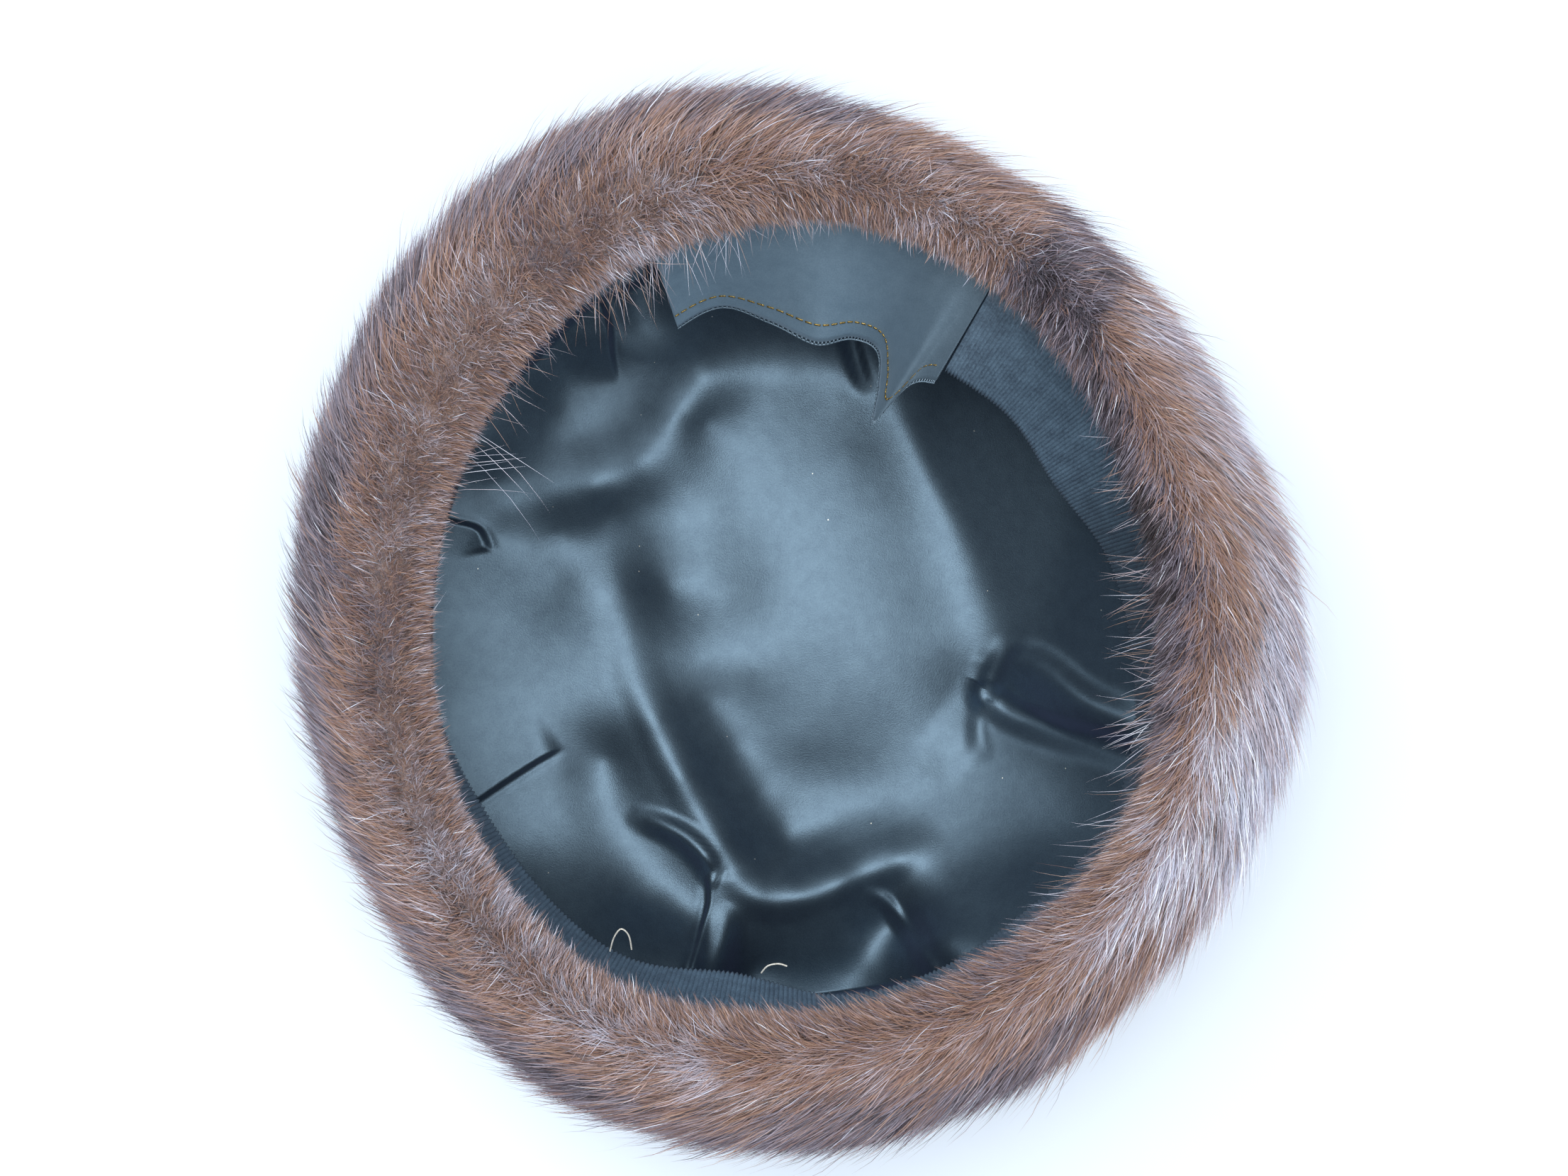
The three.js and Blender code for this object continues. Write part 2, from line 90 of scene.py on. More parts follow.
# Lining seen from above: how high it lies over the crown, in mm, at places across it. A smooth sheet bends
# through them all.
LINING_HEIGHTS = [
    # the broad swell of the middle
    (0, 45, 6.8), (-15, 30, 7), (10, 20, 8.4), (24, 5, 7.8), (-5, 5, 8), (14, 45, 6.2), (24, 30, 6.6), (-25, 55, 5.4),
    (-10, 62, 5.4), (10, 62, 4.2), (24, 55, 3.8), (33, 36, 5), (39, 20, 6), (43, 8, 5.8), (49, -8, 5), (38, -5, 6),
    (35, -20, 5), (20, -15, 6.8), (5, -10, 7.2), (-12, -10, 7), (-8, 15, 7.4),
    # the low ground before the long fold
    (0, -30, 3.6), (15, -32, 3.4), (30, -35, 4), (-10, -30, 3), (-5, -45, 1.2), (8, -54, 1.6), (20, -49, 2.4),
    (32, -46, 4.5), (-24, -20, 5), (-17, -32, 3), (-11, -44, 2), (-3, -57, 1.6),
    # the crest of the long fold
    (-49, 20, 11), (-47, 10, 11.4), (-46, 2, 12), (-44, -10, 12.5), (-38, -25, 13.5), (-31, -39, 13.5), (-21, -57, 13),
    (-11, -71, 12), (0, -71, 11), (11, -67, 10), (26, -61, 9.5), (38, -55, 8.5),
    # the hollow right of the crest, and the saddle under it
    (-41, 12, 7.8), (-35, 11, 4.8), (-28, 9, 4), (-18, 8, 5), (-34, -7, 9.4), (-24, -8, 7.4),
    # the shelf at the left
    (-57, 12, 12.4), (-58, -5, 12), (-71, 0, 10.8), (-82, -5, 11.6), (-60, -20, 12), (-75, -20, 12.5),
    (-92, -22, 15), (-55, -25, 11), (-95, -5, 13.5),
    # its hollow, and the bright band above
    (-75, 8, 11.2), (-80, 16, 12.6), (-88, 4, 12), (-64, 13, 11.6), (-92, 15, 14), (-79, 24, 13.6), (-64, 25, 12.6),
    (-92, 30, 17),
    (-50, 30, 9.5), (-40, 33, 6.2),
    # the valley at the upper left, and the fold beyond it
    (-81, 37, 13), (-67, 38, 8), (-55, 38, 4.5), (-43, 45, 2), (-34, 57, 1.5), (-27, 70, 3), (-68, 49, 14),
    (-57, 51, 10.8), (-50, 54, 9.6), (-44, 59, 8.4), (-37, 66, 7.4), (-62, 57, 13), (-51, 66, 13), (-31, 75, 10),
    # the wall from the upper left round to the right
    (-82, 46, 24), (-72, 60, 26), (-61, 66, 17), (-58, 74, 25), (-45, 82, 26), (-30, 88, 25), (-15, 75, 7), (-15, 88, 22),
    (5, 73, 6), (5, 87, 22), (20, 70, 6), (20, 84, 21), (35, 62, 8), (40, 78, 26), (48, 48, 12), (62, 62, 36),
    (55, 30, 13), (76, 40, 38), (60, 12, 14), (80, 15, 38), (64, -4, 15), (84, -8, 40),
    # both sides of the deep fold at the tack
    (51, -17, 3), (70, -18, 21), (84, -26, 37), (60, -32, 12), (75, -38, 25), (50, -30, 6), (45, -42, 7.5),
    (58, -45, 14), (70, -52, 25), (55, -62, 21), (42, -62, 13), (45, -76, 27), (62, -68, 35),
    # the wall at the bottom
    (-11, -78, 8), (0, -78, 7.5), (12, -75, 7), (26, -70, 6.5), (0, -86, 4), (14, -84, 3.5), (28, -80, 3), (-12, -86, 4),
    (0, -94, 1), (15, -92, 1), (-14, -92, 1),
    (35, -81, 26),
    # the lower left
    (-41, -33, 11.6), (-52, -35, 6.5), (-63, -38, 10.5), (-75, -44, 12), (-88, -40, 15), (-60, -51, 10.5), (-73, -58, 14),
    (-50, -48, 7.5),
    (-50, -62, 10.5), (-62, -71, 20), (-42, -72, 12), (-45, -82, 26), (-35, -58, 9), (-30, -76, 11), (-28, -88, 22),
]

# Sharper folds on top of that: points across the lining, the height of the fold at each, and how wide its flanks
# are to the left and to the right of the way that it runs. Below zero it is a crease.
FOLDS = [
    {"points": [(-46, 5), (-43, -12), (-38, -25), (-31, -39), (-21, -57), (-11, -71), (0, -71), (11, -67), (26, -61),
                (38, -55)], "heights": [0, 0.8, 1.2, 1.4, 1.5, 1.6, 1.6, 1.4, 1.2, 0], "left": 9, "right": 7},
    {"points": [(-42, -50), (-36, -52), (-30, -55), (-25, -60), (-23, -64)], "heights": [1, 3, 4, 4, 2], "left": 4,
     "right": 5},
    {"points": [(51, -17), (59, -22.5), (69, -27), (78, -29.5), (90, -35)], "heights": [-2.5, -4.5, -5, -5, -4], "left": 3.5,
     "right": 8},
    {"points": [(54, -9), (62, -11), (72, -20), (84, -26)], "heights": [2, 6, 8, 5], "left": 8, "right": 9},
    {"points": [(-53, 30), (-48, 10), (-43, -10)], "heights": [0, 0.8, 2, 0.8, 0], "left": 14, "right": 34},
    {"points": [(-42, 92), (-42, 80), (-43, 70)], "heights": [-6, -5, -3, 0, 0], "left": 12, "right": 10},
    {"points": [(-21, -92), (-19.5, -82), (-18.5, -72)], "heights": [3, 3, 0], "left": 5, "right": 5},
    {"points": [(51, -17), (53, -10), (59, 0)], "heights": [-3, -3, 0], "left": 5, "right": 3},
    {"points": [(50, -18), (48, -27), (50, -36)], "heights": [-1.2, -1.2, 0], "left": 3, "right": 5},
    {"points": [(50, -19), (43, -29), (35, -40)], "heights": [0.8, 1.3, 0], "left": 7, "right": 10},
    {"points": [(12, 80), (15, 71), (18, 63)], "heights": [4, 4, 0], "left": 4, "right": 3},
    {"points": [(77, 39.4), (65, 35.4), (57, 32.4)], "heights": [-1.6, -1.6, 0], "left": 1.6, "right": 1.6},
    {"points": [(34, -88), (28, -79), (22.6, -72), (16.5, -69.6)], "heights": [1.8, 1.8, 1.5, 0], "left": 4,
     "right": 2.6},
]

# Where the lining turns up in a sharp corner: a point of the corner, the way that the wall behind it faces away
# to, how steep that wall is and how high its foot.
CORNERS = [
    {"point": (27, 58), "away": (0.936, 0.353), "slope": 0.8, "foot": 3.8},
]

# Tucks of the lining that are pressed flat: points across it from the wall in, how far the tuck's edge stands off,
# how wide it slopes away, and to which side of the way that it runs, 1 for left.
TUCKS = [
    {"points": [(-88, -48), (-84.7, -45.8), (-76, -39.8), (-69, -35.3), (-62.5, -31.5)], "height": 2, "width": 14,
     "side": 1},
    {"points": [(-93, 28), (-85.4, 26.3), (-83, 23.5), (-81.8, 20)], "height": 2.2, "width": 9, "side": -1},
    {"points": [(-54, 92), (-49.9, 79.7), (-49.3, 71.6), (-48.3, 64.5)], "height": 4.5, "width": 22, "side": -1,
     "fade": 1.8},
    {"points": [(-29, -91), (-25.8, -79), (-24, -71.7), (-24.4, -64.5)], "height": 2.4, "width": 12, "side": -1},
]

# Ribbon, in even steps clockwise from the label's turned-down end: how far its free edge hangs in from the seam,
# as a share of its width.
RIBBON_FROM, RIBBON_TO = 60, -246
RIBBON_SAG = [0.86, 0.68, 0.62, 0.34, 0.2, 0.1, 0.06, 0.1, 0.06, 0.1, 0.34, 0.2, 0.16, 0.08, -0.06, -0.1, -0.1,
              -0.1, -0.1, 0.0]
RIB_PITCH = 1.15
# Painted light and shade round the hat: the ribbon is darker at the right, where it lies in shade, and lighter at the
# bottom and lower left.
RIBBON_PAINTED_SHADE_TURNS = [0, 14, 30, 200, 225, 275, 300, 318, 345, 360]
RIBBON_PAINTED_SHADES = [0.36, 0.6, 1, 1, 1.5, 1.5, 1, 0.7, 0.36, 0.36]

# Label, from its cut end to the end that is turned down: the turn of its sewn edge, the turn of its lower edge,
# and how far that edge is in from the seam and down from it, as shares of the label's width.
LABEL_ROWS = [
    (112, 112.5, 0.36, 0.9),
    (104, 104, 0.33, 0.92),
    (95, 96, 0.5, 0.84),
    (87, 87, 0.66, 0.74),
    (79, 79.5, 0.57, 0.8),
    (72, 74, 0.6, 0.8),
    (67, 71.5, 0.84, 0.74),
    (64, 69.7, 1.06, 0.64),
    (61.6, 65, 0.74, 0.46),
    (60.2, 60.6, 0.66, 0.33),
]
PICOT_PITCH = 1.0

# How the hair lies along the fur's face. run is how far down the face a hair starts, in mm, nap how far it turns
# from clockwise towards the crown in degrees, length in mm and lift how far it stands off in degrees.
HAIR_ROWS = [
    {"run": 0, "nap": -42, "length": 7, "lift": 40},
    {"run": 12, "nap": -18, "length": 9, "lift": 40},
    {"run": 24, "nap": -4, "length": 10, "lift": 32},
    {"run": 40, "nap": 10, "length": 13, "lift": 26},
    {"run": 60, "nap": 26, "length": 17, "lift": 22},
    {"run": 90, "nap": 32, "length": 19, "lift": 19},
    {"run": 125, "nap": 26, "length": 18, "lift": 16},
    {"run": 160, "nap": 14, "length": 15, "lift": 8},
    {"run": 260, "nap": 0, "length": 12, "lift": 3},
]

# The fur's tone round the hat, from 0, near black, over slate, russet, brown and tan to 1, silver white: at the
# rim's inner edge, on its top and outside.
TONE_ROWS = [
    {"turn": 0, "inner": 0.02, "top": 0.45, "outer": 0.68},
    {"turn": 30, "inner": 0.05, "top": 0.48, "outer": 0.68},
    {"turn": 60, "inner": 0.24, "top": 0.46, "outer": 0.5},
    {"turn": 90, "inner": 0.5, "top": 0.5, "outer": 0.26},
    {"turn": 120, "inner": 0.54, "top": 0.48, "outer": 0.25},
    {"turn": 150, "inner": 0.57, "top": 0.5, "outer": 0.24},
    {"turn": 180, "inner": 0.49, "top": 0.45, "outer": 0.23},
    {"turn": 210, "inner": 0.57, "top": 0.48, "outer": 0.23},
    {"turn": 240, "inner": 0.6, "top": 0.5, "outer": 0.25},
    {"turn": 270, "inner": 0.46, "top": 0.59, "outer": 0.25},
    {"turn": 300, "inner": 0.36, "top": 0.43, "outer": 0.25},
    {"turn": 318, "inner": 0.44, "top": 0.53, "outer": 0.4},
    {"turn": 332, "inner": 0.56, "top": 0.68, "outer": 0.64},
    {"turn": 345, "inner": 0.14, "top": 0.62, "outer": 0.72},
]

# Pelt patches with a sharp joint: their turns, how far down the face they run, their own tone and how much of it
# shows, and by how many degrees for each mm of run their sides lean.
PELT_PATCHES = [
    {"turns": (60, 85), "runs": (0, 75), "tone": 0.5, "share": 0.85, "lean": 0.04},
    {"turns": (46, 59), "runs": (0, 66), "tone": 0.15, "share": 0.75, "lean": 0.18},
    {"turns": (-4, 3), "runs": (0, 32), "tone": 0.2, "share": 0.5, "lean": 0},
]

# Where the fur is short and stands up like plush: how much, by turn, along the rim's inner edge.
PLUSH_TURNS = [0, 40, 58, 85, 98, 118, 210, 240, 265, 360]
PLUSH_SHARES = [0.15, 0.25, 0.8, 0.8, 0.4, 0.9, 1, 0.6, 0.2, 0.15]

# How much the nap turns away from clockwise, by turn, as a share of what its rows say.
SPLAY_TURNS = [0, 60, 110, 180, 230, 270, 310, 340, 360]
SPLAY_SHARES = [0.5, 0.7, 1.1, 1.15, 1, 0.7, 0.4, 0.35, 0.5]

# How far inside the CAD's face the hairs are rooted: at the inner edge, and by turn beyond it.
INSET_TURNS = [0, 18, 60, 88, 106, 125, 150, 200, 240, 275, 300, 318, 335, 360]
EDGE_INSETS = [3, 3.2, 3.8, 4.4, 3.6, 3.2, 3.2, 3.2, 4, 3.6, 3.6, 3.6, 3.6, 3]
INSETS = [1.2, 2.8, 2.6, 3, -1, 0.2, 1.0, 3, 3.2, 3.8, 3.2, 3.8, 2.4, 1.2]

# Stray hairs over the lining and the label: the turns that they spring from, how many there are, which way they
# point seen from above in degrees, how much they spread, their length in mm, how they droop, and their tones.
STRAYS = [
    {"turns": (154, 161), "count": 7, "heading": 2, "spread": 8, "length": (10, 22), "droop": 0.1, "tones": (0.7, 0.9)},
    {"turns": (148, 154), "count": 4, "heading": -32, "spread": 9, "length": (14, 30), "droop": 0.2, "tones": (0.7, 0.9)},
    {"turns": (166, 186), "count": 34, "heading": 62, "spread": 16, "length": (5, 10), "droop": 0.1, "tones": (0.4, 0.95)},
    {"turns": (122, 148), "count": 46, "heading": -48, "spread": 30, "length": (5, 12), "droop": 0.2, "tones": (0.17, 0.72)},
    {"turns": (112, 122), "count": 44, "heading": -70, "spread": 26, "length": (7, 17), "droop": 0.2, "tones": (0.25, 0.8)},
    {"turns": (98, 112), "count": 46, "heading": -86, "spread": 24, "length": (6, 14), "droop": 0.2, "tones": (0.45, 0.98)},
    {"turns": (86, 98), "count": 26, "heading": -95, "spread": 20, "length": (4, 9), "droop": 0.2, "tones": (0.25, 0.8)},
    {"turns": (10, 30), "count": 36, "heading": 208, "spread": 16, "length": (5, 11), "droop": 0.1, "tones": (0.3, 0.85)},
    {"turns": (-12, 10), "count": 50, "heading": 192, "spread": 16, "length": (7, 15), "droop": 0.1, "tones": (0.37, 0.92)},
    {"turns": (-40, -12), "count": 76, "heading": 205, "spread": 14, "length": (8, 17), "droop": 0.1, "tones": (0.4, 0.95)},
    {"turns": (-75, -40), "count": 76, "heading": 198, "spread": 14, "length": (7, 15), "droop": 0.1, "tones": (0.33, 0.88)},
    {"turns": (-110, -75), "count": 60, "heading": 182, "spread": 18, "length": (5, 11), "droop": 0.1, "tones": (0.25, 0.8)},
    {"turns": (-150, -110), "count": 40, "heading": 100, "spread": 26, "length": (4, 8), "droop": 0.1, "tones": (0.15, 0.7)},
]

# Loose ends of pale basting thread at the ribbon's edge, as points in mm.
THREADS = [
    [(-46.5, -80.5, 69), (-45.4, -77, 71), (-43.6, -74.8, 72.5), (-41.8, -76.4, 71.5), (-41.2, -80, 69.5)],
    [(-9.6, -85.5, 71), (-8, -83.6, 73), (-5.4, -83, 74), (-3.4, -83.6, 73.5)],
]

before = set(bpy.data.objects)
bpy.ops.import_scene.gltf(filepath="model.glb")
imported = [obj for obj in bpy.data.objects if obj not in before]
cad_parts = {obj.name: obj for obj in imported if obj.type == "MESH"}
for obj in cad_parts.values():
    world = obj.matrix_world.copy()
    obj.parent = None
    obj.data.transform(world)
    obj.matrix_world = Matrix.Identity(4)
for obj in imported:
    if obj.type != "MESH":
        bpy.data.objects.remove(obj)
bpy.ops.object.select_all(action="DESELECT")
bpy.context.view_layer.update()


def smooth_line(values, place, closed=False):
    """The Catmull-Rom line through values, at places counted in rows."""
    values = np.asarray(values, float)
    last = len(values) - 1
    place = np.asarray(place, float)
    if closed:
        row = np.floor(place).astype(int)
    else:
        place = np.clip(place, 0, last)
        row = np.minimum(np.floor(place).astype(int), last - 1)

    def pick(step):
        index = row + step
        return values[index % len(values)] if closed else values[np.clip(index, 0, last)]

    share = place - row
    if values.ndim > 1:
        share = share[..., None]
    before, start, end, after = (pick(step) for step in (-1, 0, 1, 2))
    bend = 2 * before - 5 * start + 4 * end - after
    twist = 3 * start - before - 3 * end + after
    return 0.5 * (2 * start + (end - before) * share + bend * share**2 + twist * share**3)


OUTLINE_TURNS = np.arange(0, 360, 0.5)
OUTLINE_PLACES = OUTLINE_TURNS / 30
OPENING_TABLE = OPENING_RADIUS * smooth_line([row[1] for row in OUTLINE], OUTLINE_PLACES, closed=True)
GIRTH_TABLE = GIRTH_RADIUS * smooth_line([row[2] for row in OUTLINE], OUTLINE_PLACES, closed=True)


def opening_at(turn):
    return np.interp(turn, OUTLINE_TURNS, OPENING_TABLE, period=360)


def girth_at(turn):
    return np.interp(turn, OUTLINE_TURNS, GIRTH_TABLE, period=360)


def polar(turn, radius, height):
    """Points from turns in degrees, radii and heights."""
    angle = np.radians(turn)
    return np.stack(np.broadcast_arrays(radius * np.cos(angle), radius * np.sin(angle), height), axis=-1)


def wall_point(turn, out, up):
    opening = opening_at(turn)
    radius = np.where(out < 0, opening * (1 + out), opening + out * (girth_at(turn) - opening))
    return polar(turn, radius, up * HAT_HEIGHT)


# The face of the whole fur, walked in millimetres at the mean radii.
FACE_ROWS = RIM_FACE + SIDE_FACE[1:] + CROWN_FACE[1:]
FACE_PLACES = np.linspace(0, len(FACE_ROWS) - 1, 600)
FACE_OUT = smooth_line([row[0] for row in FACE_ROWS], FACE_PLACES)
FACE_UP = smooth_line([row[1] for row in FACE_ROWS], FACE_PLACES)
FACE_RADIUS = np.where(
    FACE_OUT < 0, OPENING_RADIUS * (1 + FACE_OUT), OPENING_RADIUS + FACE_OUT * (GIRTH_RADIUS - OPENING_RADIUS)
)
FACE_RUN = np.concatenate([[0], np.cumsum(np.hypot(np.diff(FACE_RADIUS), np.diff(FACE_UP * HAT_HEIGHT)))])
RIM_RUN = float(FACE_RUN[np.searchsorted(FACE_PLACES, len(RIM_FACE) - 1)])
SIDE_RUN = float(FACE_RUN[np.searchsorted(FACE_PLACES, len(RIM_FACE) + len(SIDE_FACE) - 2)])
CROWN_RUN = float(FACE_RUN[-1])
FLOOR_CLEARANCE = 0.3


def pelt(turn, run):
    """The fur's face at a turn, a run of millimetres down it from the head opening."""
    point = wall_point(turn, np.interp(run, FACE_RUN, FACE_OUT), np.interp(run, FACE_RUN, FACE_UP))
    point[..., 2] = np.maximum(point[..., 2], FLOOR_CLEARANCE)
    return point


def unit(vector):
    length = np.linalg.norm(vector, axis=-1, keepdims=True)
    return vector / np.maximum(length, 1e-9)


def pelt_normal(turn, run):
    """The way out of the fur's face."""
    round_way = pelt(turn + 0.4, run) - pelt(turn - 0.4, run)
    low, high = np.clip(run - 0.8, 0, CROWN_RUN), np.clip(run + 0.8, 0, CROWN_RUN)
    down_way = pelt(turn, high) - pelt(turn, low)
    return unit(np.cross(down_way, round_way))


def inset_at(turn, run):
    outside, edge = (np.interp(turn % 360, INSET_TURNS, values) for values in (INSETS, EDGE_INSETS))
    return edge + (outside - edge) * np.clip((run - 14) / 30, 0, 1)


def plush_at(turn, run):
    """How much the fur stands up like plush, from 0 to 1."""
    share = np.interp(turn % 360, PLUSH_TURNS, PLUSH_SHARES)
    edge = 32 + 12 * share + 5 * drift(turn, run, (6, 12), 21)
    return share * np.clip((edge - run) / 10, 0, 1)


def radius_at(run):
    return np.maximum(np.interp(run, FACE_RUN, FACE_RADIUS), 12)


def drift(x, y, width, seed):
    """Smooth noise from -1 to 1. It closes round after 360 in x, and width is the size of its patches in x and y."""
    round_steps = max(int(round(360 / width[0])), 3)
    lattice = np.random.default_rng(seed).uniform(-1, 1, (round_steps, 257))
    place_x = (np.asarray(x) / 360 * round_steps) % round_steps
    place_y = np.asarray(y) / width[1] + 40
    column, row = np.floor(place_x).astype(int), np.floor(place_y).astype(int)
    share_x, share_y = place_x - column, place_y - row
    share_x, share_y = (share**2 * (3 - 2 * share) for share in (share_x, share_y))
    left, right = column % round_steps, (column + 1) % round_steps
    below, above = row % 257, (row + 1) % 257
    low = lattice[left, below] * (1 - share_x) + lattice[right, below] * share_x
    high = lattice[left, above] * (1 - share_x) + lattice[right, above] * share_x
    return low * (1 - share_y) + high * share_y


def rows_at(rows, key, column, value):
    return np.interp(value, [row[key] for row in rows], [row[column] for row in rows])


def tone_at(turn, run):
    """The fur's tone, from its rows and patches."""
    rows = TONE_ROWS + [{**TONE_ROWS[0], "turn": 360}]
    turn = turn % 360
    inner, top, outer = (rows_at(rows, "turn", column, turn) for column in ("inner", "top", "outer"))
    wave = 5 * drift(turn, run, (14, 30), 3)
    place = run + wave - 4 * np.interp(turn, PLUSH_TURNS, PLUSH_SHARES)
    tone = np.where(
        place < 32,
        inner + (top - inner) * np.clip((place - 20) / 10, 0, 1),
        top + (outer - top) * np.clip((place - 34) / 10, 0, 1),
    )
    for patch in PELT_PATCHES:
        edge = 1.4 * drift(turn, run, (4, 6), 5)
        first, last = (value % 360 for value in patch["turns"])
        shifted = turn + edge - patch["lean"] * (run - 30)
        inside = (((shifted - first) % 360) < (last - first) % 360) & (run + 6 * edge < patch["runs"][1])
        tone = np.where(inside, tone + (patch["tone"] - tone) * patch["share"], tone)
    return tone + 0.08 * drift(turn, run, (9, 14), 7) + 0.08 * drift(turn, run, (3, 5), 9) + 0.08 * drift(turn, run, (1.5, 3), 11)


def new_mesh(name, points, faces_start, corners, uv=None):
    """A mesh object from points in millimetres, where each face starts, and its corners."""
    mesh = bpy.data.meshes.new(name)
    mesh.vertices.add(len(points))
    mesh.vertices.foreach_set("co", (points * MM).astype(np.float32).ravel())
    mesh.loops.add(len(corners))
    mesh.loops.foreach_set("vertex_index", corners.astype(np.int32))
    mesh.polygons.add(len(faces_start))
    mesh.polygons.foreach_set("loop_start", faces_start.astype(np.int32))
    if uv is not None:
        layer = mesh.uv_layers.new(name="OFBake")
        layer.uv.foreach_set("vector", uv[corners].astype(np.float32).ravel())
    mesh.update(calc_edges=True)
    mesh.shade_smooth()
    piece = bpy.data.objects.new(name, mesh)
    bpy.context.scene.collection.objects.link(piece)
    return piece


def sheet_mesh(name, grid, wrap_round=False):
    """A sheet through a grid of points. wrap_round joins its last row to its first."""
    rows, columns = grid.shape[:2]
    index = np.arange(rows * columns).reshape(rows, columns)
    here = index if wrap_round else index[:-1]
    there = np.roll(index, -1, axis=0) if wrap_round else index[1:]
    quads = np.stack([here[:, :-1], there[:, :-1], there[:, 1:], here[:, 1:]], axis=-1).reshape(-1, 4)
    return new_mesh(name, grid.reshape(-1, 3), np.arange(len(quads)) * 4, quads.ravel())


def finish_piece(piece, material, replaced=()):
    piece.data.materials.clear()
    piece.data.materials.append(material)
    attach(piece, "root")
    if replaced:
        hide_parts(*replaced)


def add_modifier(piece, kind, **settings):
    """Adds a modifier and applies it."""
    modifier = piece.modifiers.new(kind.title(), kind)
    for key, value in settings.items():
        setattr(modifier, key, value)
    bpy.context.view_layer.objects.active = piece
    piece.select_set(True)
    bpy.ops.object.modifier_apply(modifier=modifier.name)
    piece.select_set(False)


def linear(*channels):
    """A colour for a shader from its red, green and blue on a screen."""
    scaled = [value / 255 for value in channels]
    return [value / 12.92 if value <= 0.04045 else ((value + 0.055) / 1.055) ** 2.4 for value in scaled] + [1]


# Shaders


def new_group(name, inputs, outputs):
    """A node group with named sockets. inputs and outputs are (name, kind, value) and (name, kind)."""
    group = bpy.data.node_groups.new(name, "ShaderNodeTree")
    for label, kind, value in inputs:
        socket = group.interface.new_socket(label, in_out="INPUT", socket_type=kind)
        socket.default_value = value
    for label, kind in outputs:
        group.interface.new_socket(label, in_out="OUTPUT", socket_type=kind)
    return group, group.nodes.new("NodeGroupInput"), group.nodes.new("NodeGroupOutput")


def link(tree, source, target):
    tree.links.new(source, target)


def math_node(tree, operation, first, second):
    """A Math node. Each of first and second is a socket or a number."""
    node = tree.nodes.new("ShaderNodeMath")
    node.operation = operation
    for socket, value in zip(node.inputs, (first, second)):
        if isinstance(value, (int, float)):
            socket.default_value = value
        else:
            link(tree, value, socket)
    return node.outputs[0]


def noise_node(tree, vector, scale, detail=2, roughness=0.5):
    node = tree.nodes.new("ShaderNodeTexNoise")
    node.inputs["Scale"].default_value = scale
    node.inputs["Detail"].default_value = detail
    node.inputs["Roughness"].default_value = roughness
    link(tree, vector, node.inputs["Vector"])
    return node.outputs["Fac"]


def mix_colour(tree, factor, first, second, blend="MIX"):
    node = tree.nodes.new("ShaderNodeMix")
    node.data_type = "RGBA"
    node.blend_type = blend
    for socket, value in ((node.inputs[0], factor), (node.inputs[6], first), (node.inputs[7], second)):
        if isinstance(value, bpy.types.NodeSocket):
            link(tree, value, socket)
        else:
            socket.default_value = value
    return node.outputs[2]


def ramp_node(tree, factor, stops):
    node = tree.nodes.new("ShaderNodeValToRGB")
    elements = node.color_ramp.elements
    while len(elements) < len(stops):
        elements.new(0.5)
    for element, (place, colour) in zip(elements, stops):
        element.position = place
        element.color = colour
    link(tree, factor, node.inputs["Fac"])
    return node.outputs["Color"]


def weave_group():
    """Fine crossing threads, as a height, and a grain that varies the colour."""
    group, inside, outside = new_group(
        "fine weave",
        [("Vector", "NodeSocketVector", (0, 0, 0)), ("Threads", "NodeSocketFloat", 2600.0)],
        [("Height", "NodeSocketFloat"), ("Grain", "NodeSocketFloat")],
    )
    scaled = group.nodes.new("ShaderNodeVectorMath")
    scaled.operation = "SCALE"
    link(group, inside.outputs["Vector"], scaled.inputs[0])
    link(group, inside.outputs["Threads"], scaled.inputs["Scale"])
    fine = noise_node(group, scaled.outputs[0], 1.0, 3, 0.6)
    coarse = noise_node(group, inside.outputs["Vector"], 260, 3, 0.55)
    link(group, fine, outside.inputs["Height"])
    link(group, math_node(group, "ADD", math_node(group, "MULTIPLY", fine, 0.6), math_node(group, "MULTIPLY", coarse, 0.4)),
         outside.inputs["Grain"])
    return group


def lint_group():
    """Sparse specks of dust, as a mask."""
    group, inside, outside = new_group(
        "lint",
        [("Vector", "NodeSocketVector", (0, 0, 0)), ("Density", "NodeSocketFloat", 260.0)],
        [("Mask", "NodeSocketFloat")],
    )
    cells = group.nodes.new("ShaderNodeTexVoronoi")
    link(group, inside.outputs["Vector"], cells.inputs["Vector"])
    link(group, inside.outputs["Density"], cells.inputs["Scale"])
    near = math_node(group, "LESS_THAN", cells.outputs["Distance"], 0.05)
    split = group.nodes.new("ShaderNodeSeparateColor")
    link(group, cells.outputs["Color"], split.inputs[0])
    chosen = math_node(group, "GREATER_THAN", split.outputs[0], 0.9)
    link(group, math_node(group, "MULTIPLY", near, chosen), outside.inputs["Mask"])
    return group


def new_material(name, **constants):
    """A material whose Principled shader has these constants on its own sockets."""
    material = bpy.data.materials.new(name)
    material.use_nodes = True
    shader = material.node_tree.nodes["Principled BSDF"]
    for key, value in constants.items():
        shader.inputs[key.replace("_", " ")].default_value = value
    return material, material.node_tree, shader


def object_place(tree):
    return tree.nodes.new("ShaderNodeTexCoord").outputs["Object"]


def bump_to(tree, shader, height, distance, strength=1.0):
    bump = tree.nodes.new("ShaderNodeBump")
    bump.inputs["Distance"].default_value = distance
    bump.inputs["Strength"].default_value = strength
    link(tree, height, bump.inputs["Height"])
    link(tree, bump.outputs["Normal"], shader.inputs["Normal"])
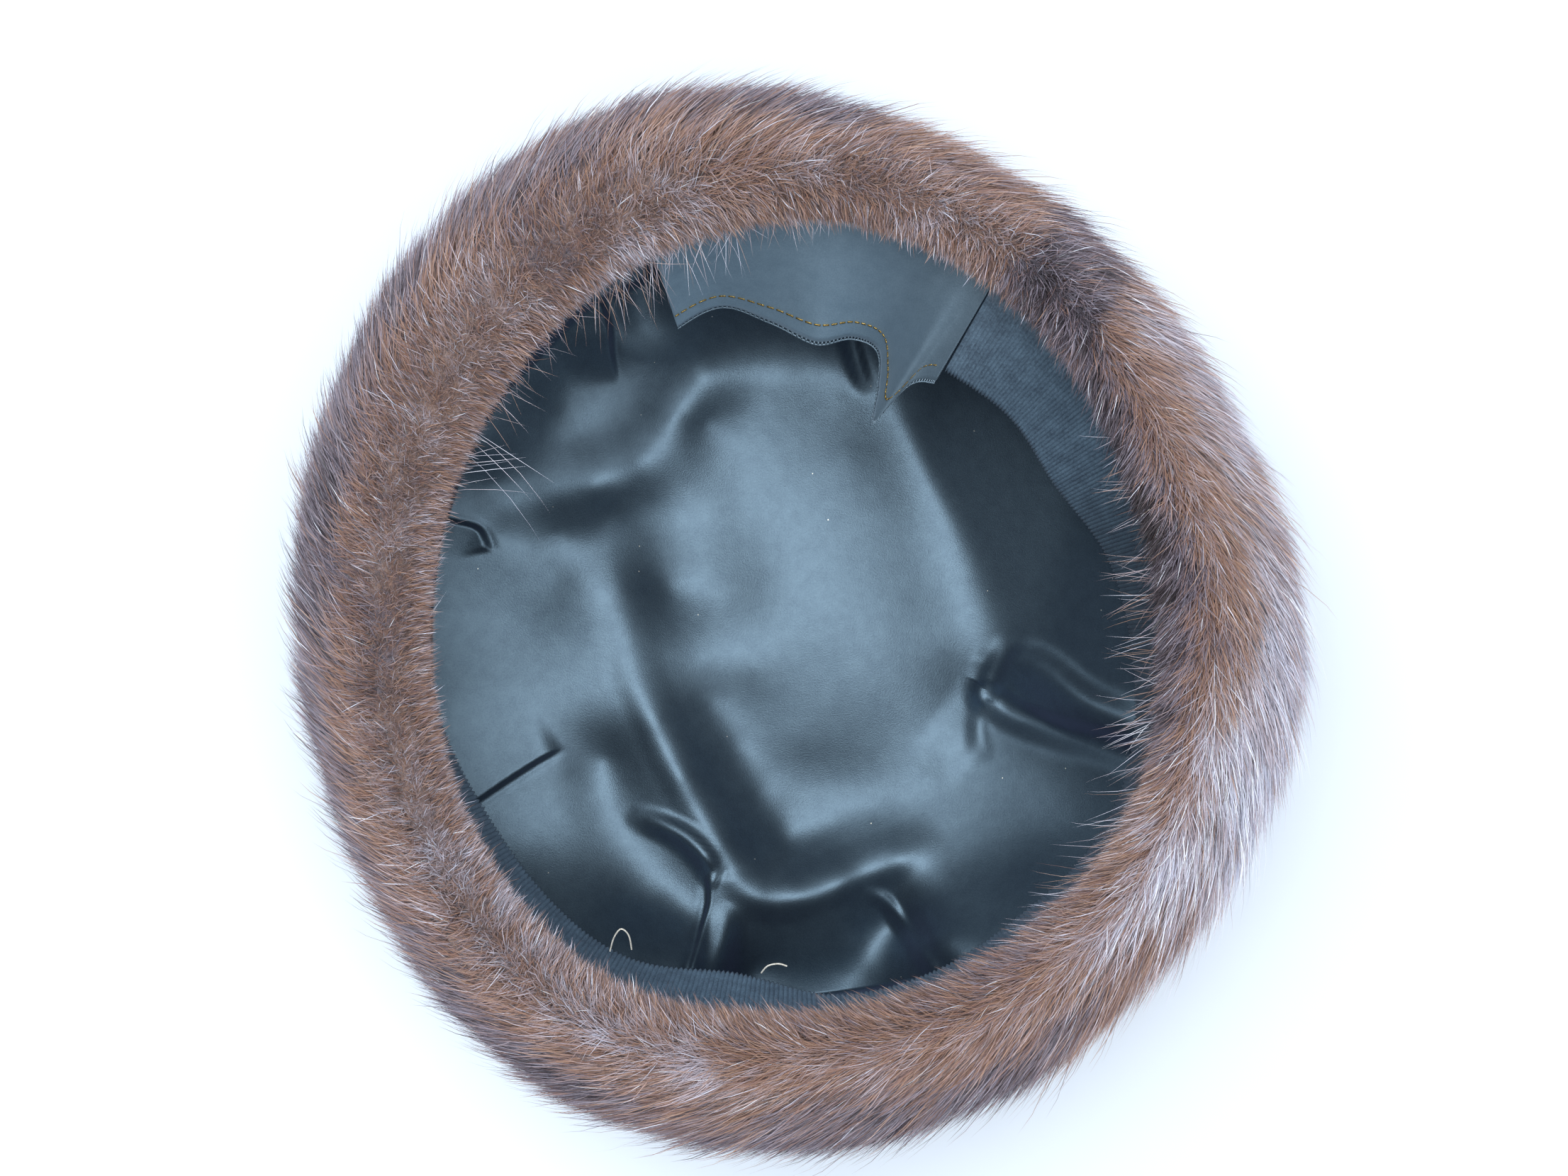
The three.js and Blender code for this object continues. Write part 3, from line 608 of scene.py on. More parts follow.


# Slate at 0.24 and the tones from 0.6 up are lighter and bluer than the hairs' own colour: painted sheen, the pale blue
# light that the guard hairs reflect.
FUR_TONES = [
    (0.0, linear(44, 36, 38)),
    (0.12, linear(86, 72, 80)),
    (0.24, linear(152, 146, 162)),
    (0.3, linear(154, 138, 144)),
    (0.37, linear(148, 114, 104)),
    (0.45, linear(162, 126, 106)),
    (0.52, linear(180, 147, 128)),
    (0.6, linear(178, 158, 160)),
    (0.68, linear(192, 181, 191)),
    (0.76, linear(204, 200, 213)),
    (0.88, linear(216, 221, 240)),
    (1.0, linear(244, 249, 255)),
]


def hair_material(name, shine, root_shade):
    """Hair. Its map holds its tone across and the way from its root to its tip upwards."""
    material, tree, shader = new_material(name, Roughness=shine, IOR=1.5)
    shader.inputs["Specular IOR Level"].default_value = 0.6
    shader.inputs["Sheen Weight"].default_value = 0.22
    shader.inputs["Sheen Roughness"].default_value = 0.4
    shader.inputs["Sheen Tint"].default_value = (0.8, 0.86, 1, 1)
    place = tree.nodes.new("ShaderNodeUVMap")
    place.uv_map = "OFBake"
    split = tree.nodes.new("ShaderNodeSeparateXYZ")
    link(tree, place.outputs[0], split.inputs[0])
    tone = ramp_node(tree, split.outputs["X"], FUR_TONES)
    # Darker towards the root and lighter and bluer at the tip: painted shade deep between the hairs and painted sheen
    # on their tips.
    shade = ramp_node(
        tree,
        split.outputs["Y"],
        [(0.0, [root_shade] * 3 + [1]), (0.5, [0.92, 0.92, 0.92, 1]), (1.0, [1.12, 1.12, 1.15, 1])],
    )
    link(tree, mix_colour(tree, 1.0, tone, shade, "MULTIPLY"), shader.inputs["Base Color"])
    return material


def undercoat_material():
    """The woolly coat under the hairs. Its tone is an attribute of its mesh."""
    material, tree, shader = new_material("undercoat", Roughness=0.9)
    shader.inputs["Sheen Weight"].default_value = 0.5
    shader.inputs["Sheen Roughness"].default_value = 0.5
    shader.inputs["Sheen Tint"].default_value = (0.85, 0.88, 1, 1)
    tone = tree.nodes.new("ShaderNodeAttribute")
    tone.attribute_name = "tone"
    place = object_place(tree)
    fibres = noise_node(tree, place, 1500, 4, 0.7)
    tufts = noise_node(tree, place, 420, 3, 0.6)
    shifted = math_node(tree, "ADD", tone.outputs["Fac"], math_node(tree, "MULTIPLY", math_node(tree, "SUBTRACT", tufts, 0.5), 0.3))
    base = ramp_node(tree, shifted, FUR_TONES)
    depth = math_node(tree, "ADD", math_node(tree, "MULTIPLY", fibres, 0.6), math_node(tree, "MULTIPLY", tufts, 0.4))
    # Darker where its bumps are low: painted shade in the hollows between the tufts.
    shade = ramp_node(tree, depth, [(0.34, linear(96, 88, 88)), (0.5, linear(196, 190, 190)), (0.66, linear(255, 255, 255))])
    link(tree, mix_colour(tree, 1.0, base, shade, "MULTIPLY"), shader.inputs["Base Color"])
    bump_to(tree, shader, depth, 0.002)
    return material


def cloth_material(name, colours, roughness, metallic, threads, sheen, lint=False, with_painted_shade=False):
    """Satin or ribbon: colours are dark and light ones for its grain, sheen its weight and tint."""
    material, tree, shader = new_material(name, Roughness=roughness, Metallic=metallic)
    shader.inputs["Sheen Weight"].default_value, shader.inputs["Sheen Tint"].default_value = sheen
    place = object_place(tree)
    weave = tree.nodes.new("ShaderNodeGroup")
    weave.node_tree = WEAVE
    weave.inputs["Threads"].default_value = threads
    link(tree, place, weave.inputs["Vector"])
    colour = ramp_node(tree, weave.outputs["Grain"], [(0.35, colours[0]), (0.65, colours[1])])
    if lint:
        specks = tree.nodes.new("ShaderNodeGroup")
        specks.node_tree = LINT
        link(tree, place, specks.inputs["Vector"])
        colour = mix_colour(tree, specks.outputs["Mask"], colour, linear(205, 205, 196))
    # Painted light and shade: the colour is multiplied by the mesh's shade attribute.
    if with_painted_shade:
        shade = tree.nodes.new("ShaderNodeAttribute")
        shade.attribute_name = "shade"
        colour = mix_colour(tree, 1.0, colour, shade.outputs["Color"], "MULTIPLY")
    link(tree, colour, shader.inputs["Base Color"])
    bump_to(tree, shader, weave.outputs["Height"], 0.00006)
    return material


WEAVE = weave_group()
LINT = lint_group()
satin = cloth_material("lining satin", (linear(77, 93, 106), linear(89, 107, 120)), 0.47, 0.9, 2600.0, (0.09, (0.42, 0.42, 1, 1)), lint=True)
label_satin = cloth_material("label satin", (linear(106, 130, 148), linear(122, 146, 164)), 0.5, 0.45, 2600.0, (0.3, (0.6, 0.8, 1, 1)), with_painted_shade=True)
grosgrain = cloth_material("grosgrain", (linear(50, 66, 82), linear(84, 106, 124)), 0.6, 0.1, 1800.0, (0.1, (0.6, 0.75, 1, 1)), with_painted_shade=True)
undercoat = undercoat_material()
soft_hair = hair_material("soft hair", 0.6, 0.4)
guard_hair = hair_material("guard hair", 0.34, 0.55)


# Fur


def fur_skin(name, face, back, node, run_start):
    """The coat under the hairs of one piece of fur, closed all round, a little inside its CAD solid."""
    rounds, steps = 240, 6
    turns = np.arange(rounds) * 360 / rounds
    face_places = np.linspace(0, len(face) - 1, (len(face) - 1) * steps + 1)
    loop = [smooth_line([row[axis] for row in face], face_places) for axis in (0, 1)]
    out = np.concatenate([loop[0], [row[0] for row in back]])
    up = np.concatenate([loop[1], [row[1] for row in back]])
    grid = wall_point(turns[:, None], out[None, :], up[None, :])
    shown = len(loop[0])
    steps_down = np.hypot(np.diff(np.hypot(grid[0, :shown, 0], grid[0, :shown, 1])), np.diff(grid[0, :shown, 2]))
    run = run_start + np.concatenate([[0], np.cumsum(steps_down)])
    on_face = np.concatenate([np.ones(shown), np.zeros(len(back))])
    on_face[shown - 1] = 0
    on_face[0] = 0.8
    rough = np.random.default_rng(31).normal(0, 0.3, grid.shape[:2])
    face_turn, face_run = np.broadcast_arrays(turns[:, None], run[None, :])
    plush = plush_at(face_turn, face_run)
    sink = inset_at(face_turn, face_run) + 1.6 - 2.6 * plush + 0.5 * drift(face_turn, face_run, (2, 4), 41)
    middle = grid.mean(axis=1, keepdims=True)
    away = unit(grid - middle)
    grid[:, :shown] += away[:, :shown] * ((rough[:, :shown] - sink) * on_face[:shown])[..., None]
    grid[..., 2] = np.maximum(grid[..., 2], FLOOR_CLEARANCE)
    tone = np.full(grid.shape[:2], 0.2)
    tone[:, :shown] = np.minimum(tone_at(face_turn, face_run), 0.6) - 0.02
    if face[-1][0] > -1:
        grid, tone = np.concatenate([grid, grid[:, :1]], axis=1), np.concatenate([tone, tone[:, :1]], axis=1)
    piece = sheet_mesh(name, grid[:, ::-1], wrap_round=True)
    layer = piece.data.attributes.new("tone", "FLOAT", "POINT")
    layer.data.foreach_set("value", tone[:, ::-1].astype(np.float32).ravel())
    add_modifier(piece, "WELD", merge_threshold=1e-6)
    finish_piece(piece, undercoat, [node])
    return piece


def grow(name, seed, count, runs, style, material):
    """Hairs on the fur's face between two runs, as narrow blades that end in a point."""
    rng = np.random.default_rng(seed)
    steps = np.linspace(runs[0], runs[1], 200)
    weight = np.cumsum(radius_at(steps) * np.interp(steps, *style["crowding"]))
    run = np.interp(rng.random(count), (weight - weight[0]) / (weight[-1] - weight[0]), steps)
    turn = rng.uniform(0, 360, count)
    plush = plush_at(turn, run)
    splay = np.interp(turn, SPLAY_TURNS, SPLAY_SHARES)
    nap = rows_at(HAIR_ROWS, "run", "nap", run)
    nap = np.where(nap > 0, nap * splay, nap) + style["swirl"] * drift(turn, run, (7, 9), seed + 1)
    nap = np.radians(nap + rng.normal(0, 1, count) * (style["spread"] + 55 * plush))
    length = rows_at(HAIR_ROWS, "run", "length", run) * style["length"] * rng.uniform(0.72, 1.2, count)
    length = length * (1 - 0.42 * plush) * (1.25 - 0.25 * splay)
    lift = rows_at(HAIR_ROWS, "run", "lift", run) + style["stand"] * drift(turn, run, (4, 6), seed + 2)
    lift = np.radians(np.clip(lift * (0.6 + 0.4 * splay) + rng.normal(0, 5, count) + 32 * plush, 2, 78))
    # Hairs of one tuft lean to its middle.
    tuft = style["tuft"]
    round_steps = int(round(360 / np.degrees(tuft / 105)))
    row = np.floor(run / tuft).astype(int)
    column = np.floor(turn / 360 * round_steps + 0.5 * (row % 2)).astype(int)
    jitter = np.random.default_rng(seed + 3).uniform(-0.35, 0.35, (round_steps + 2, 260, 2))[column, row]
    middle_turn = (column + 0.5 + jitter[:, 0] - 0.5 * (row % 2)) * 360 / round_steps
    middle_run = (row + 0.5 + jitter[:, 1]) * tuft
    lift = lift * (1 + 0.3 * jitter[:, 0])
    inset = inset_at(turn, run)
    levels = style["levels"]
    width = style["width"] * rng.uniform(0.75, 1.25, count)
    roll = rng.uniform(-1.25, 1.25, count)
    spine, normals = [], []
    for level in levels:
        ahead = length * np.cos(lift) * level
        here_turn = turn - np.degrees(np.cos(nap) * ahead / radius_at(run))
        here_run = run + np.sin(nap) * ahead
        pull = style["pull"] * level**1.5
        here_turn = here_turn + pull * (middle_turn - turn)
        here_run = np.clip(here_run + pull * (middle_run - run), 0, CROWN_RUN)
        normal = pelt_normal(here_turn, here_run)
        height = length * np.sin(lift) * (1.45 * level - 0.45 * level**2) - 1.4 * (1 - level) - inset
        spine.append(pelt(here_turn, here_run) + normal * height[:, None])
        normals.append(normal)
    spine = np.stack(spine, axis=1)
    spine[..., 2] = np.maximum(spine[..., 2], FLOOR_CLEARANCE)
    return blades(name, spine, np.stack(normals, axis=1), width, roll, tone_of(style, turn, run, rng), levels,
                  material)


def tone_of(style, turn, run, rng):
    """Each hair's tone: the pelt's own, moved by its kind and with a few odd pale ones."""
    tone = tone_at(turn, run) + rng.normal(0, 1, len(turn)) * (style["mixed"] + 0.04 * plush_at(turn, run))
    # A paler silver band at the lower right, strongest on the guard hairs: partly the hairs' own silver tips and partly
    # painted sheen.
    silver = np.exp(-((((turn + 24 + 180) % 360) - 180) / 25) ** 2) * np.clip((run - 10) / 22, 0, 1) * np.clip((95 - run) / 35, 0, 1)
    tone = tone + silver * style["silver"] * rng.uniform(0.2, 1.4, len(turn))
    odd = rng.random(len(turn)) < style["odd"]
    tone = np.where(odd, rng.uniform(0.85, 1.0, len(turn)), tone)
    return np.clip(tone, 0.01, 0.99)


def blades(name, spine, normals, width, roll, tone, levels, material):
    """Tapered blades along spines of points."""
    count, stations = spine.shape[:2]
    way = unit(np.gradient(spine, axis=1))
    side = unit(np.cross(normals, way))
    up = np.cross(way, side)
    across = np.cos(roll)[:, None, None] * side + np.sin(roll)[:, None, None] * up
    thick = np.interp(levels, [0, 0.5, 1], [0.5, 0.5, 0])
    half = across * (width[:, None] * thick[None, :])[..., None]
    pairs = np.stack([spine + half, spine - half], axis=2)[:, :-1].reshape(count, -1, 3)
    points = np.concatenate([pairs, spine[:, -1:]], axis=1)
    each = points.shape[1]
    quads = []
    for station in range(stations - 2):
        low = 2 * station
        quads.append([low, low + 1, low + 3, low + 2])
    tip = [each - 3, each - 2, each - 1]
    pattern = np.array([corner for quad in quads for corner in quad] + tip)
    starts = np.array([4 * index for index in range(len(quads) + 1)])
    base = (np.arange(count) * each)[:, None]
    corners = (base + pattern[None, :]).ravel()
    face_starts = ((np.arange(count) * len(pattern))[:, None] + starts[None, :]).ravel()
    v = np.concatenate([np.repeat(levels[:-1], 2), [levels[-1]]])
    u_shift = np.concatenate([np.tile([-1, 1], stations - 1), [0]])
    uv = np.empty((count, each, 2))
    uv[..., 0] = tone[:, None] + 0.002 * u_shift[None, :]
    uv[..., 1] = np.clip(v, 0.001, 0.999)[None, :]
    piece = new_mesh(name, points.reshape(-1, 3), face_starts, corners, uv.reshape(-1, 2))
    finish_piece(piece, material)
    return piece


SOFT = {
    "length": 0.8, "spread": 11, "swirl": 9, "stand": 7, "tuft": 4.2, "pull": 0.22, "width": 0.2,
    "mixed": 0.075, "silver": 0.1, "odd": 0.004, "levels": np.array([0, 0.5, 1.0]),
    "crowding": ([0, 8, 70, 130, 200, 270], [0.9, 1.5, 1.2, 0.9, 0.4, 0.3]),
}
GUARD = {
    "length": 1.12, "spread": 9, "swirl": 8, "stand": 7, "tuft": 5.5, "pull": 0.2, "width": 0.2,
    "mixed": 0.13, "silver": 0.42, "odd": 0.04, "levels": np.array([0, 0.4, 0.75, 1.0]),
    "crowding": ([0, 20, 50, 130, 200, 270], [0.5, 0.8, 1.3, 1.0, 0.4, 0.2]),
}

fur_skin("rim_undercoat", RIM_FACE, RIM_BACK, "fur_rim_strip", 0)
fur_skin("side_undercoat", SIDE_FACE, SIDE_BACK, "fur_side_band", RIM_RUN)
fur_skin("crown_undercoat", CROWN_FACE, CROWN_BACK, "fur_crown_tip", SIDE_RUN)

MIDDLE_RUN = (RIM_RUN + SIDE_RUN) / 2
grow("rim_soft_hair_inner", 101, 46000, (2, RIM_RUN * 0.6), SOFT, soft_hair)
grow("rim_soft_hair_outer", 102, 40000, (RIM_RUN * 0.6, RIM_RUN), SOFT, soft_hair)
grow("side_soft_hair_upper", 103, 60000, (RIM_RUN, MIDDLE_RUN), SOFT, soft_hair)
grow("side_soft_hair_lower", 104, 34000, (MIDDLE_RUN, SIDE_RUN), SOFT, soft_hair)
grow("crown_soft_hair", 105, 14000, (SIDE_RUN, CROWN_RUN - 6), SOFT, soft_hair)
grow("rim_guard_hair", 106, 12000, (2, RIM_RUN), GUARD, guard_hair)
grow("side_guard_hair", 107, 20000, (RIM_RUN, SIDE_RUN), GUARD, guard_hair)
grow("crown_guard_hair", 108, 3000, (SIDE_RUN, CROWN_RUN - 6), GUARD, guard_hair)


def stray_hairs():
    """Long loose hairs that lean in over the lining and the label."""
    rng = np.random.default_rng(211)
    levels = np.array([0, 0.3, 0.6, 0.85, 1.0])
    spines, tones, widths = [], [], []
    for group in STRAYS:
        count = group["count"]
        turn = rng.uniform(*group["turns"], count)
        run = rng.uniform(3, 9, count)
        heading = np.radians(group["heading"] + rng.normal(0, group["spread"], count))
        length = rng.uniform(*group["length"], count)
        curl = rng.normal(0, 0.12, count)
        root = pelt(turn, run) - inset_at(turn, run)[:, None] * pelt_normal(turn, run)
        way = np.stack([np.cos(heading), np.sin(heading)], axis=-1)
        side = np.stack([-way[:, 1], way[:, 0]], axis=-1)
        spine = np.repeat(root[:, None, :], len(levels), axis=1)
        reach = (length + 3)[:, None] * levels[None, :]
        spine[..., :2] += way[:, None, :] * reach[..., None]
        spine[..., :2] += side[:, None, :] * (curl[:, None] * reach * levels)[..., None]
        spine[..., 2] += 3.5 * np.sqrt(levels) - group["droop"] * reach * levels
        spines.append(spine)
        tones.append(rng.uniform(*group["tones"], count))
        widths.append(rng.uniform(0.06, 0.12, count))
    spine = np.concatenate(spines)
    upright = np.zeros_like(spine)
    upright[..., 2] = 1
    roll = rng.uniform(-0.5, 0.5, len(spine))
    blades("stray_hairs", spine, upright, np.concatenate(widths), roll, np.concatenate(tones),
           levels, guard_hair)


stray_hairs()


# Lining, ribbon and label


def seam_point(turn, wall, outward):
    seam = wall_point(turn, np.full_like(turn, SEAM_OUT), np.full_like(turn, SEAM_UP))
    radius = np.hypot(seam[..., 0], seam[..., 1]) + outward
    return radius, SEAM_UP * HAT_HEIGHT - PIECE_GAP - wall / 2


def beside_line(x, y, points):
    """How far places lie from a smooth line, on which side of it, and how far along it from 0 to 1."""
    spots = np.array(points, float)
    line = smooth_line(spots, np.linspace(0, len(spots) - 1, (len(spots) - 1) * 6 + 1))
    here = np.stack([x, y], axis=-1)
    nearest = np.full(x.shape, np.inf)
    side, along = np.zeros_like(x), np.zeros_like(x)
    for step, (start, end) in enumerate(zip(line[:-1], line[1:])):
        run = end - start
        share = np.clip((here - start) @ run / (run @ run), 0, 1)
        off = here - start - share[..., None] * run
        distance = np.hypot(off[..., 0], off[..., 1])
        closer = distance < nearest
        nearest = np.where(closer, distance, nearest)
        side = np.where(closer, np.sign(run[0] * off[..., 1] - run[1] * off[..., 0]), side)
        along = np.where(closer, (step + share) / (len(line) - 1), along)
    return nearest, side, along


def plate_kernel(x, y, spots):
    squared = (x[..., None] - spots[:, 0]) ** 2 + (y[..., None] - spots[:, 1]) ** 2
    return squared * np.log(squared + 1e-6)


def plate_terms(x, y):
    return np.stack([np.ones_like(x), x, y], axis=-1)


LINING_SPOTS = np.array(LINING_HEIGHTS, float)


def plate_weights():
    """The weights of a thin plate that bends through the lining's heights."""
    x, y, height = LINING_SPOTS.T
    bend, flat = plate_kernel(x, y, LINING_SPOTS), plate_terms(x, y)
    # A little give keeps the plate from rippling between its spots.
    bend = bend + np.eye(len(x)) * 40
    system = np.block([[bend, flat], [flat.T, np.zeros((3, 3))]])
    return np.linalg.solve(system, np.concatenate([height, np.zeros(3)]))


PLATE_WEIGHTS = plate_weights()


def lining_relief(x, y):
    """How high the lining lies over the crown at places across it."""
    height = plate_kernel(x, y, LINING_SPOTS) @ PLATE_WEIGHTS[:-3] + plate_terms(x, y) @ PLATE_WEIGHTS[-3:]
    for fold in FOLDS:
        distance, side, along = beside_line(x, y, fold["points"])
        top = smooth_line(fold["heights"], along * (len(fold["heights"]) - 1))
        share = np.clip(distance / np.where(side > 0, fold["left"], fold["right"]), 0, 1)
        height = height + top * (1 - share) ** 2 * (1 + 2 * share)
    for tuck in TUCKS:
        distance, side, along = beside_line(x, y, tuck["points"])
        off = distance * side * tuck["side"]
        edge = np.clip(off / 1.2 + 0.5, 0, 1)
        slope = np.clip(1 - off / tuck["width"], 0, 1) ** 1.5
        fade = np.clip((1 - along) * tuck.get("fade", 6), 0, 1)
        fade = fade * fade * (3 - 2 * fade) * (distance < tuck["width"])
        dip = 0.15 * np.exp(-(((off + 1.2) / 1) ** 2))
        height = height + tuck["height"] * (edge * slope - dip) * fade
    for corner in CORNERS:
        beyond = (x - corner["point"][0]) * corner["away"][0] + (y - corner["point"][1]) * corner["away"][1]
        height = np.logaddexp(1.2 * height, 1.2 * (corner["foot"] + corner["slope"] * beyond)) / 1.2
    return 0.3 + np.logaddexp(0, 2 * (height - 0.3)) / 2


def lining_point(turn, along):
    """The lining at turns and shares of the way down from its seam."""
    outward = RIBBON_WALL / 2 + CLOTH_GAP + LINING_WALL / 2
    seam_radius, seam_height = seam_point(turn, LINING_WALL, outward)
    low = CROWN_BACK_UP * HAT_HEIGHT + PIECE_GAP + LINING_WALL
    place = along * (len(LINING_ROWS) - 1)
    reach = smooth_line([row[0] for row in LINING_ROWS], place)
    rise = np.maximum(smooth_line([row[1] for row in LINING_ROWS], place), 0)
    ripples = 0.5 * np.sin(np.radians(turn * 31)) * np.exp(-along * 12)
    away = (turn - LINING_BULGE_TURN + 180) % 360 - 180
    bulge = LINING_BULGE * np.exp(-((away / 52) ** 4)) * np.clip(along * 8, 0, 1) * np.clip((0.6 - along) * 5, 0, 1)
    point = polar(turn, seam_radius * reach + ripples + bulge, low + (seam_height - low) * rise)
    share = np.clip((1.03 - reach) / 0.025, 0, 1) * (along > 0.2)
    share = share**2 * (3 - 2 * share)
    point[..., 2] += share * (low + lining_relief(point[..., 0], point[..., 1]) - point[..., 2])
    return point


def crowded_turns(count, crowds, closer, reach):
    """Turns round the hat that lie closer together near some of them."""
    steps = np.linspace(0, 360, 3601)
    density = np.ones_like(steps)
    for crowd in crowds:
        away = (steps - crowd + 180) % 360 - 180
        density = density + closer * np.exp(-((away / reach) ** 4))
    total = np.concatenate([[0], np.cumsum((density[1:] + density[:-1]) / 2)])
    return np.interp(np.arange(count) / count * total[-1], total, steps)


def make_lining():
    rings = 128
    turns = crowded_turns(480, (28, 123, 165, 208, 251, 287, 340), 3, 5)
    turn = turns[:, None] * np.ones(rings)[None, :]
    along = np.ones(len(turns))[:, None] * np.linspace(0, 1, rings)[None, :] ** 0.9
    piece = sheet_mesh("satin_lining", lining_point(turn, along), wrap_round=True)
    add_modifier(piece, "WELD", merge_threshold=0.0001)
    finish_piece(piece, satin, ["lining"])
    return piece


def add_painted_shade(piece, shade):
    """Painted light and shade on the cloth at each vertex, which its material multiplies its colour by."""
    layer = piece.data.attributes.new("shade", "FLOAT", "POINT")
    layer.data.foreach_set("value", shade.astype(np.float32))


def make_ribbon():
    """The ribbed ribbon, sewn along its top, with a beaded free edge."""
    seam_length = math.radians(RIBBON_FROM - RIBBON_TO) * 91
    ribs = int(seam_length / RIB_PITCH)
    steps = ribs * 4
    share = np.linspace(0, 1, steps + 1)
    turn = RIBBON_FROM + (RIBBON_TO - RIBBON_FROM) * share
    seam_radius, seam_height = seam_point(turn, RIBBON_WALL, 0)
    sag = smooth_line(RIBBON_SAG, share * (len(RIBBON_SAG) - 1))
    downs = np.array([0, 0.18, 0.36, 0.54, 0.72, 0.88, 0.96, 1.0])
    rib = np.cos(2 * math.pi * np.arange(steps + 1) / 4)
    grid = []
    for down in downs:
        drop = down * RIBBON_WIDTH + (0.3 * rib if down == 1 else 0)
        radius = seam_radius - drop * sag - 0.3 * rib
        grid.append(polar(turn, radius, seam_height - drop * np.sqrt(1 - sag**2)))
    piece = sheet_mesh("ribbed_ribbon", np.stack(grid, axis=1))
    # Painted light and shade round the hat, from its table.
    shade = np.interp(turn % 360, RIBBON_PAINTED_SHADE_TURNS, RIBBON_PAINTED_SHADES)
    add_painted_shade(piece, np.repeat(shade, len(downs)))
    add_modifier(piece, "SOLIDIFY", thickness=0.5 * MM, offset=0)
    finish_piece(piece, grosgrain, ["grosgrain_ribbon"])
    return piece


def label_point(share, down):
    """Points of the label at shares of the way along it and down it."""
    place = share * (len(LABEL_ROWS) - 1)
    top_turn, low_turn, reach, drop = (smooth_line([row[i] for row in LABEL_ROWS], place) for i in range(4))
    seam_radius, seam_height = seam_point(top_turn, LABEL_WALL, 0)
    top = polar(top_turn, seam_radius, seam_height)
    low_radius, low_height = seam_point(low_turn, LABEL_WALL, 0)
    bottom = polar(low_turn, low_radius - reach * LABEL_WIDTH, low_height - drop * LABEL_WIDTH)
    return top + (bottom - top) * down[..., None]


def make_label():
    share = np.linspace(0, 1, 121)[:, None] * np.ones(25)[None, :]
    down = np.ones(121)[:, None] * np.linspace(0, 1, 25)[None, :]
    piece = sheet_mesh("satin_label", label_point(share, down))
    # Painted light and shade: lighter at the cut end and darker towards the end that is turned down.
    shade = np.interp(share.ravel(), [0, 0.45, 0.62, 1], [1.2, 1.05, 0.8, 0.5])
    add_painted_shade(piece, shade)
    add_modifier(piece, "SOLIDIFY", thickness=0.4 * MM, offset=0)
    finish_piece(piece, label_satin, ["label"])
    return piece


def label_lift(share, down, lift):
    """Points on the label, lifted off its inner face."""
    point = label_point(share, down)
    along = label_point(np.minimum(share + 0.004, 1), down) - label_point(np.maximum(share - 0.004, 0), down)
    low = label_point(share, np.minimum(down + 0.01, 1)) - label_point(share, np.maximum(down - 0.01, 0))
    normal = unit(np.cross(along, low))
    normal = np.where((normal[..., :2] * point[..., :2]).sum(axis=-1, keepdims=True) > 0, -normal, normal)
    return point + normal * lift


def strips(name, rails, material):
    """Short strips, each given as rows of a left and a right point."""
    points = np.concatenate([rail.reshape(-1, 3) for rail in rails])
    quads, start = [], 0
    for rail in rails:
        for row in range(len(rail) - 1):
            low = start + 2 * row
            quads.append([low, low + 1, low + 3, low + 2])
        start += 2 * len(rail)
    piece = new_mesh(name, points, np.arange(len(quads)) * 4, np.array(quads).ravel())
    add_modifier(piece, "SOLIDIFY", thickness=0.15 * MM, offset=0)
    finish_piece(piece, material)
    return piece


def make_picot():
    """Small loops of thread along the label's lower edge, on a thread that runs along that edge."""
    length = 92
    rails = []
    for tooth in range(int(length / PICOT_PITCH)):
        middle = (tooth + 0.5) * PICOT_PITCH / length
        half = 0.2 * PICOT_PITCH / length
        shares = np.array([[middle - half, middle + half]] * 2)
        downs = np.array([[0.995, 0.995], [1.03, 1.03]])
        rails.append(label_lift(shares, downs, 0))
    rim = np.linspace(0, 1, 93)
    rails.append(label_lift(np.stack([rim, rim], axis=-1), np.array([[1.024, 1.036]] * 93), 0))
    return strips("label_picot", rails, picot_thread)


def make_border():
    """A plain running stitch in gold thread along the label."""
    rails = []
    for stitch in range(44):
        start = (stitch + 0.15) / 46
        shares = np.linspace(start, start + 0.72 / 46, 4)
        rails.append(label_lift(np.stack([shares, shares], axis=-1), np.array([[0.85, 0.862]] * 4), 0.36))
    return strips("label_border_stitch", rails, gold_thread)


def make_thread(number, points):
    """One loose end of thread, as a thin tube."""
    curve = bpy.data.curves.new(f"thread_{number}", "CURVE")
    curve.dimensions = "3D"
    curve.bevel_depth = 0.2 * MM
    curve.bevel_resolution = 2
    spline = curve.splines.new("POLY")
    line = smooth_line(np.array(points, float), np.linspace(0, len(points) - 1, 8 * (len(points) - 1) + 1))
    spline.points.add(len(line) - 1)
    for spot, place in zip(spline.points, line * MM):
        spot.co = (*place, 1)
    holder = bpy.data.objects.new(f"basting_thread_{number}", curve)
    bpy.context.scene.collection.objects.link(holder)
    bpy.context.view_layer.objects.active = holder
    holder.select_set(True)
    bpy.ops.object.convert(target="MESH")
    piece = bpy.context.active_object
    piece.select_set(False)
    finish_piece(piece, pale_thread)


def thread_material(name, dark, light, metallic, roughness):
    """Twisted thread."""
    material, tree, shader = new_material(name, Roughness=roughness, Metallic=metallic)
    fibres = noise_node(tree, object_place(tree), 3000, 3, 0.6)
    link(tree, ramp_node(tree, fibres, [(0.35, dark), (0.65, light)]), shader.inputs["Base Color"])
    bump_to(tree, shader, fibres, 0.0001)
    return material


picot_thread = thread_material("picot thread", linear(88, 108, 124), linear(150, 172, 188), 0.2, 0.5)
gold_thread = thread_material("gold thread", linear(120, 92, 40), linear(214, 184, 110), 0.8, 0.4)
pale_thread = thread_material("pale thread", linear(196, 190, 176), linear(238, 236, 228), 0.0, 0.7)

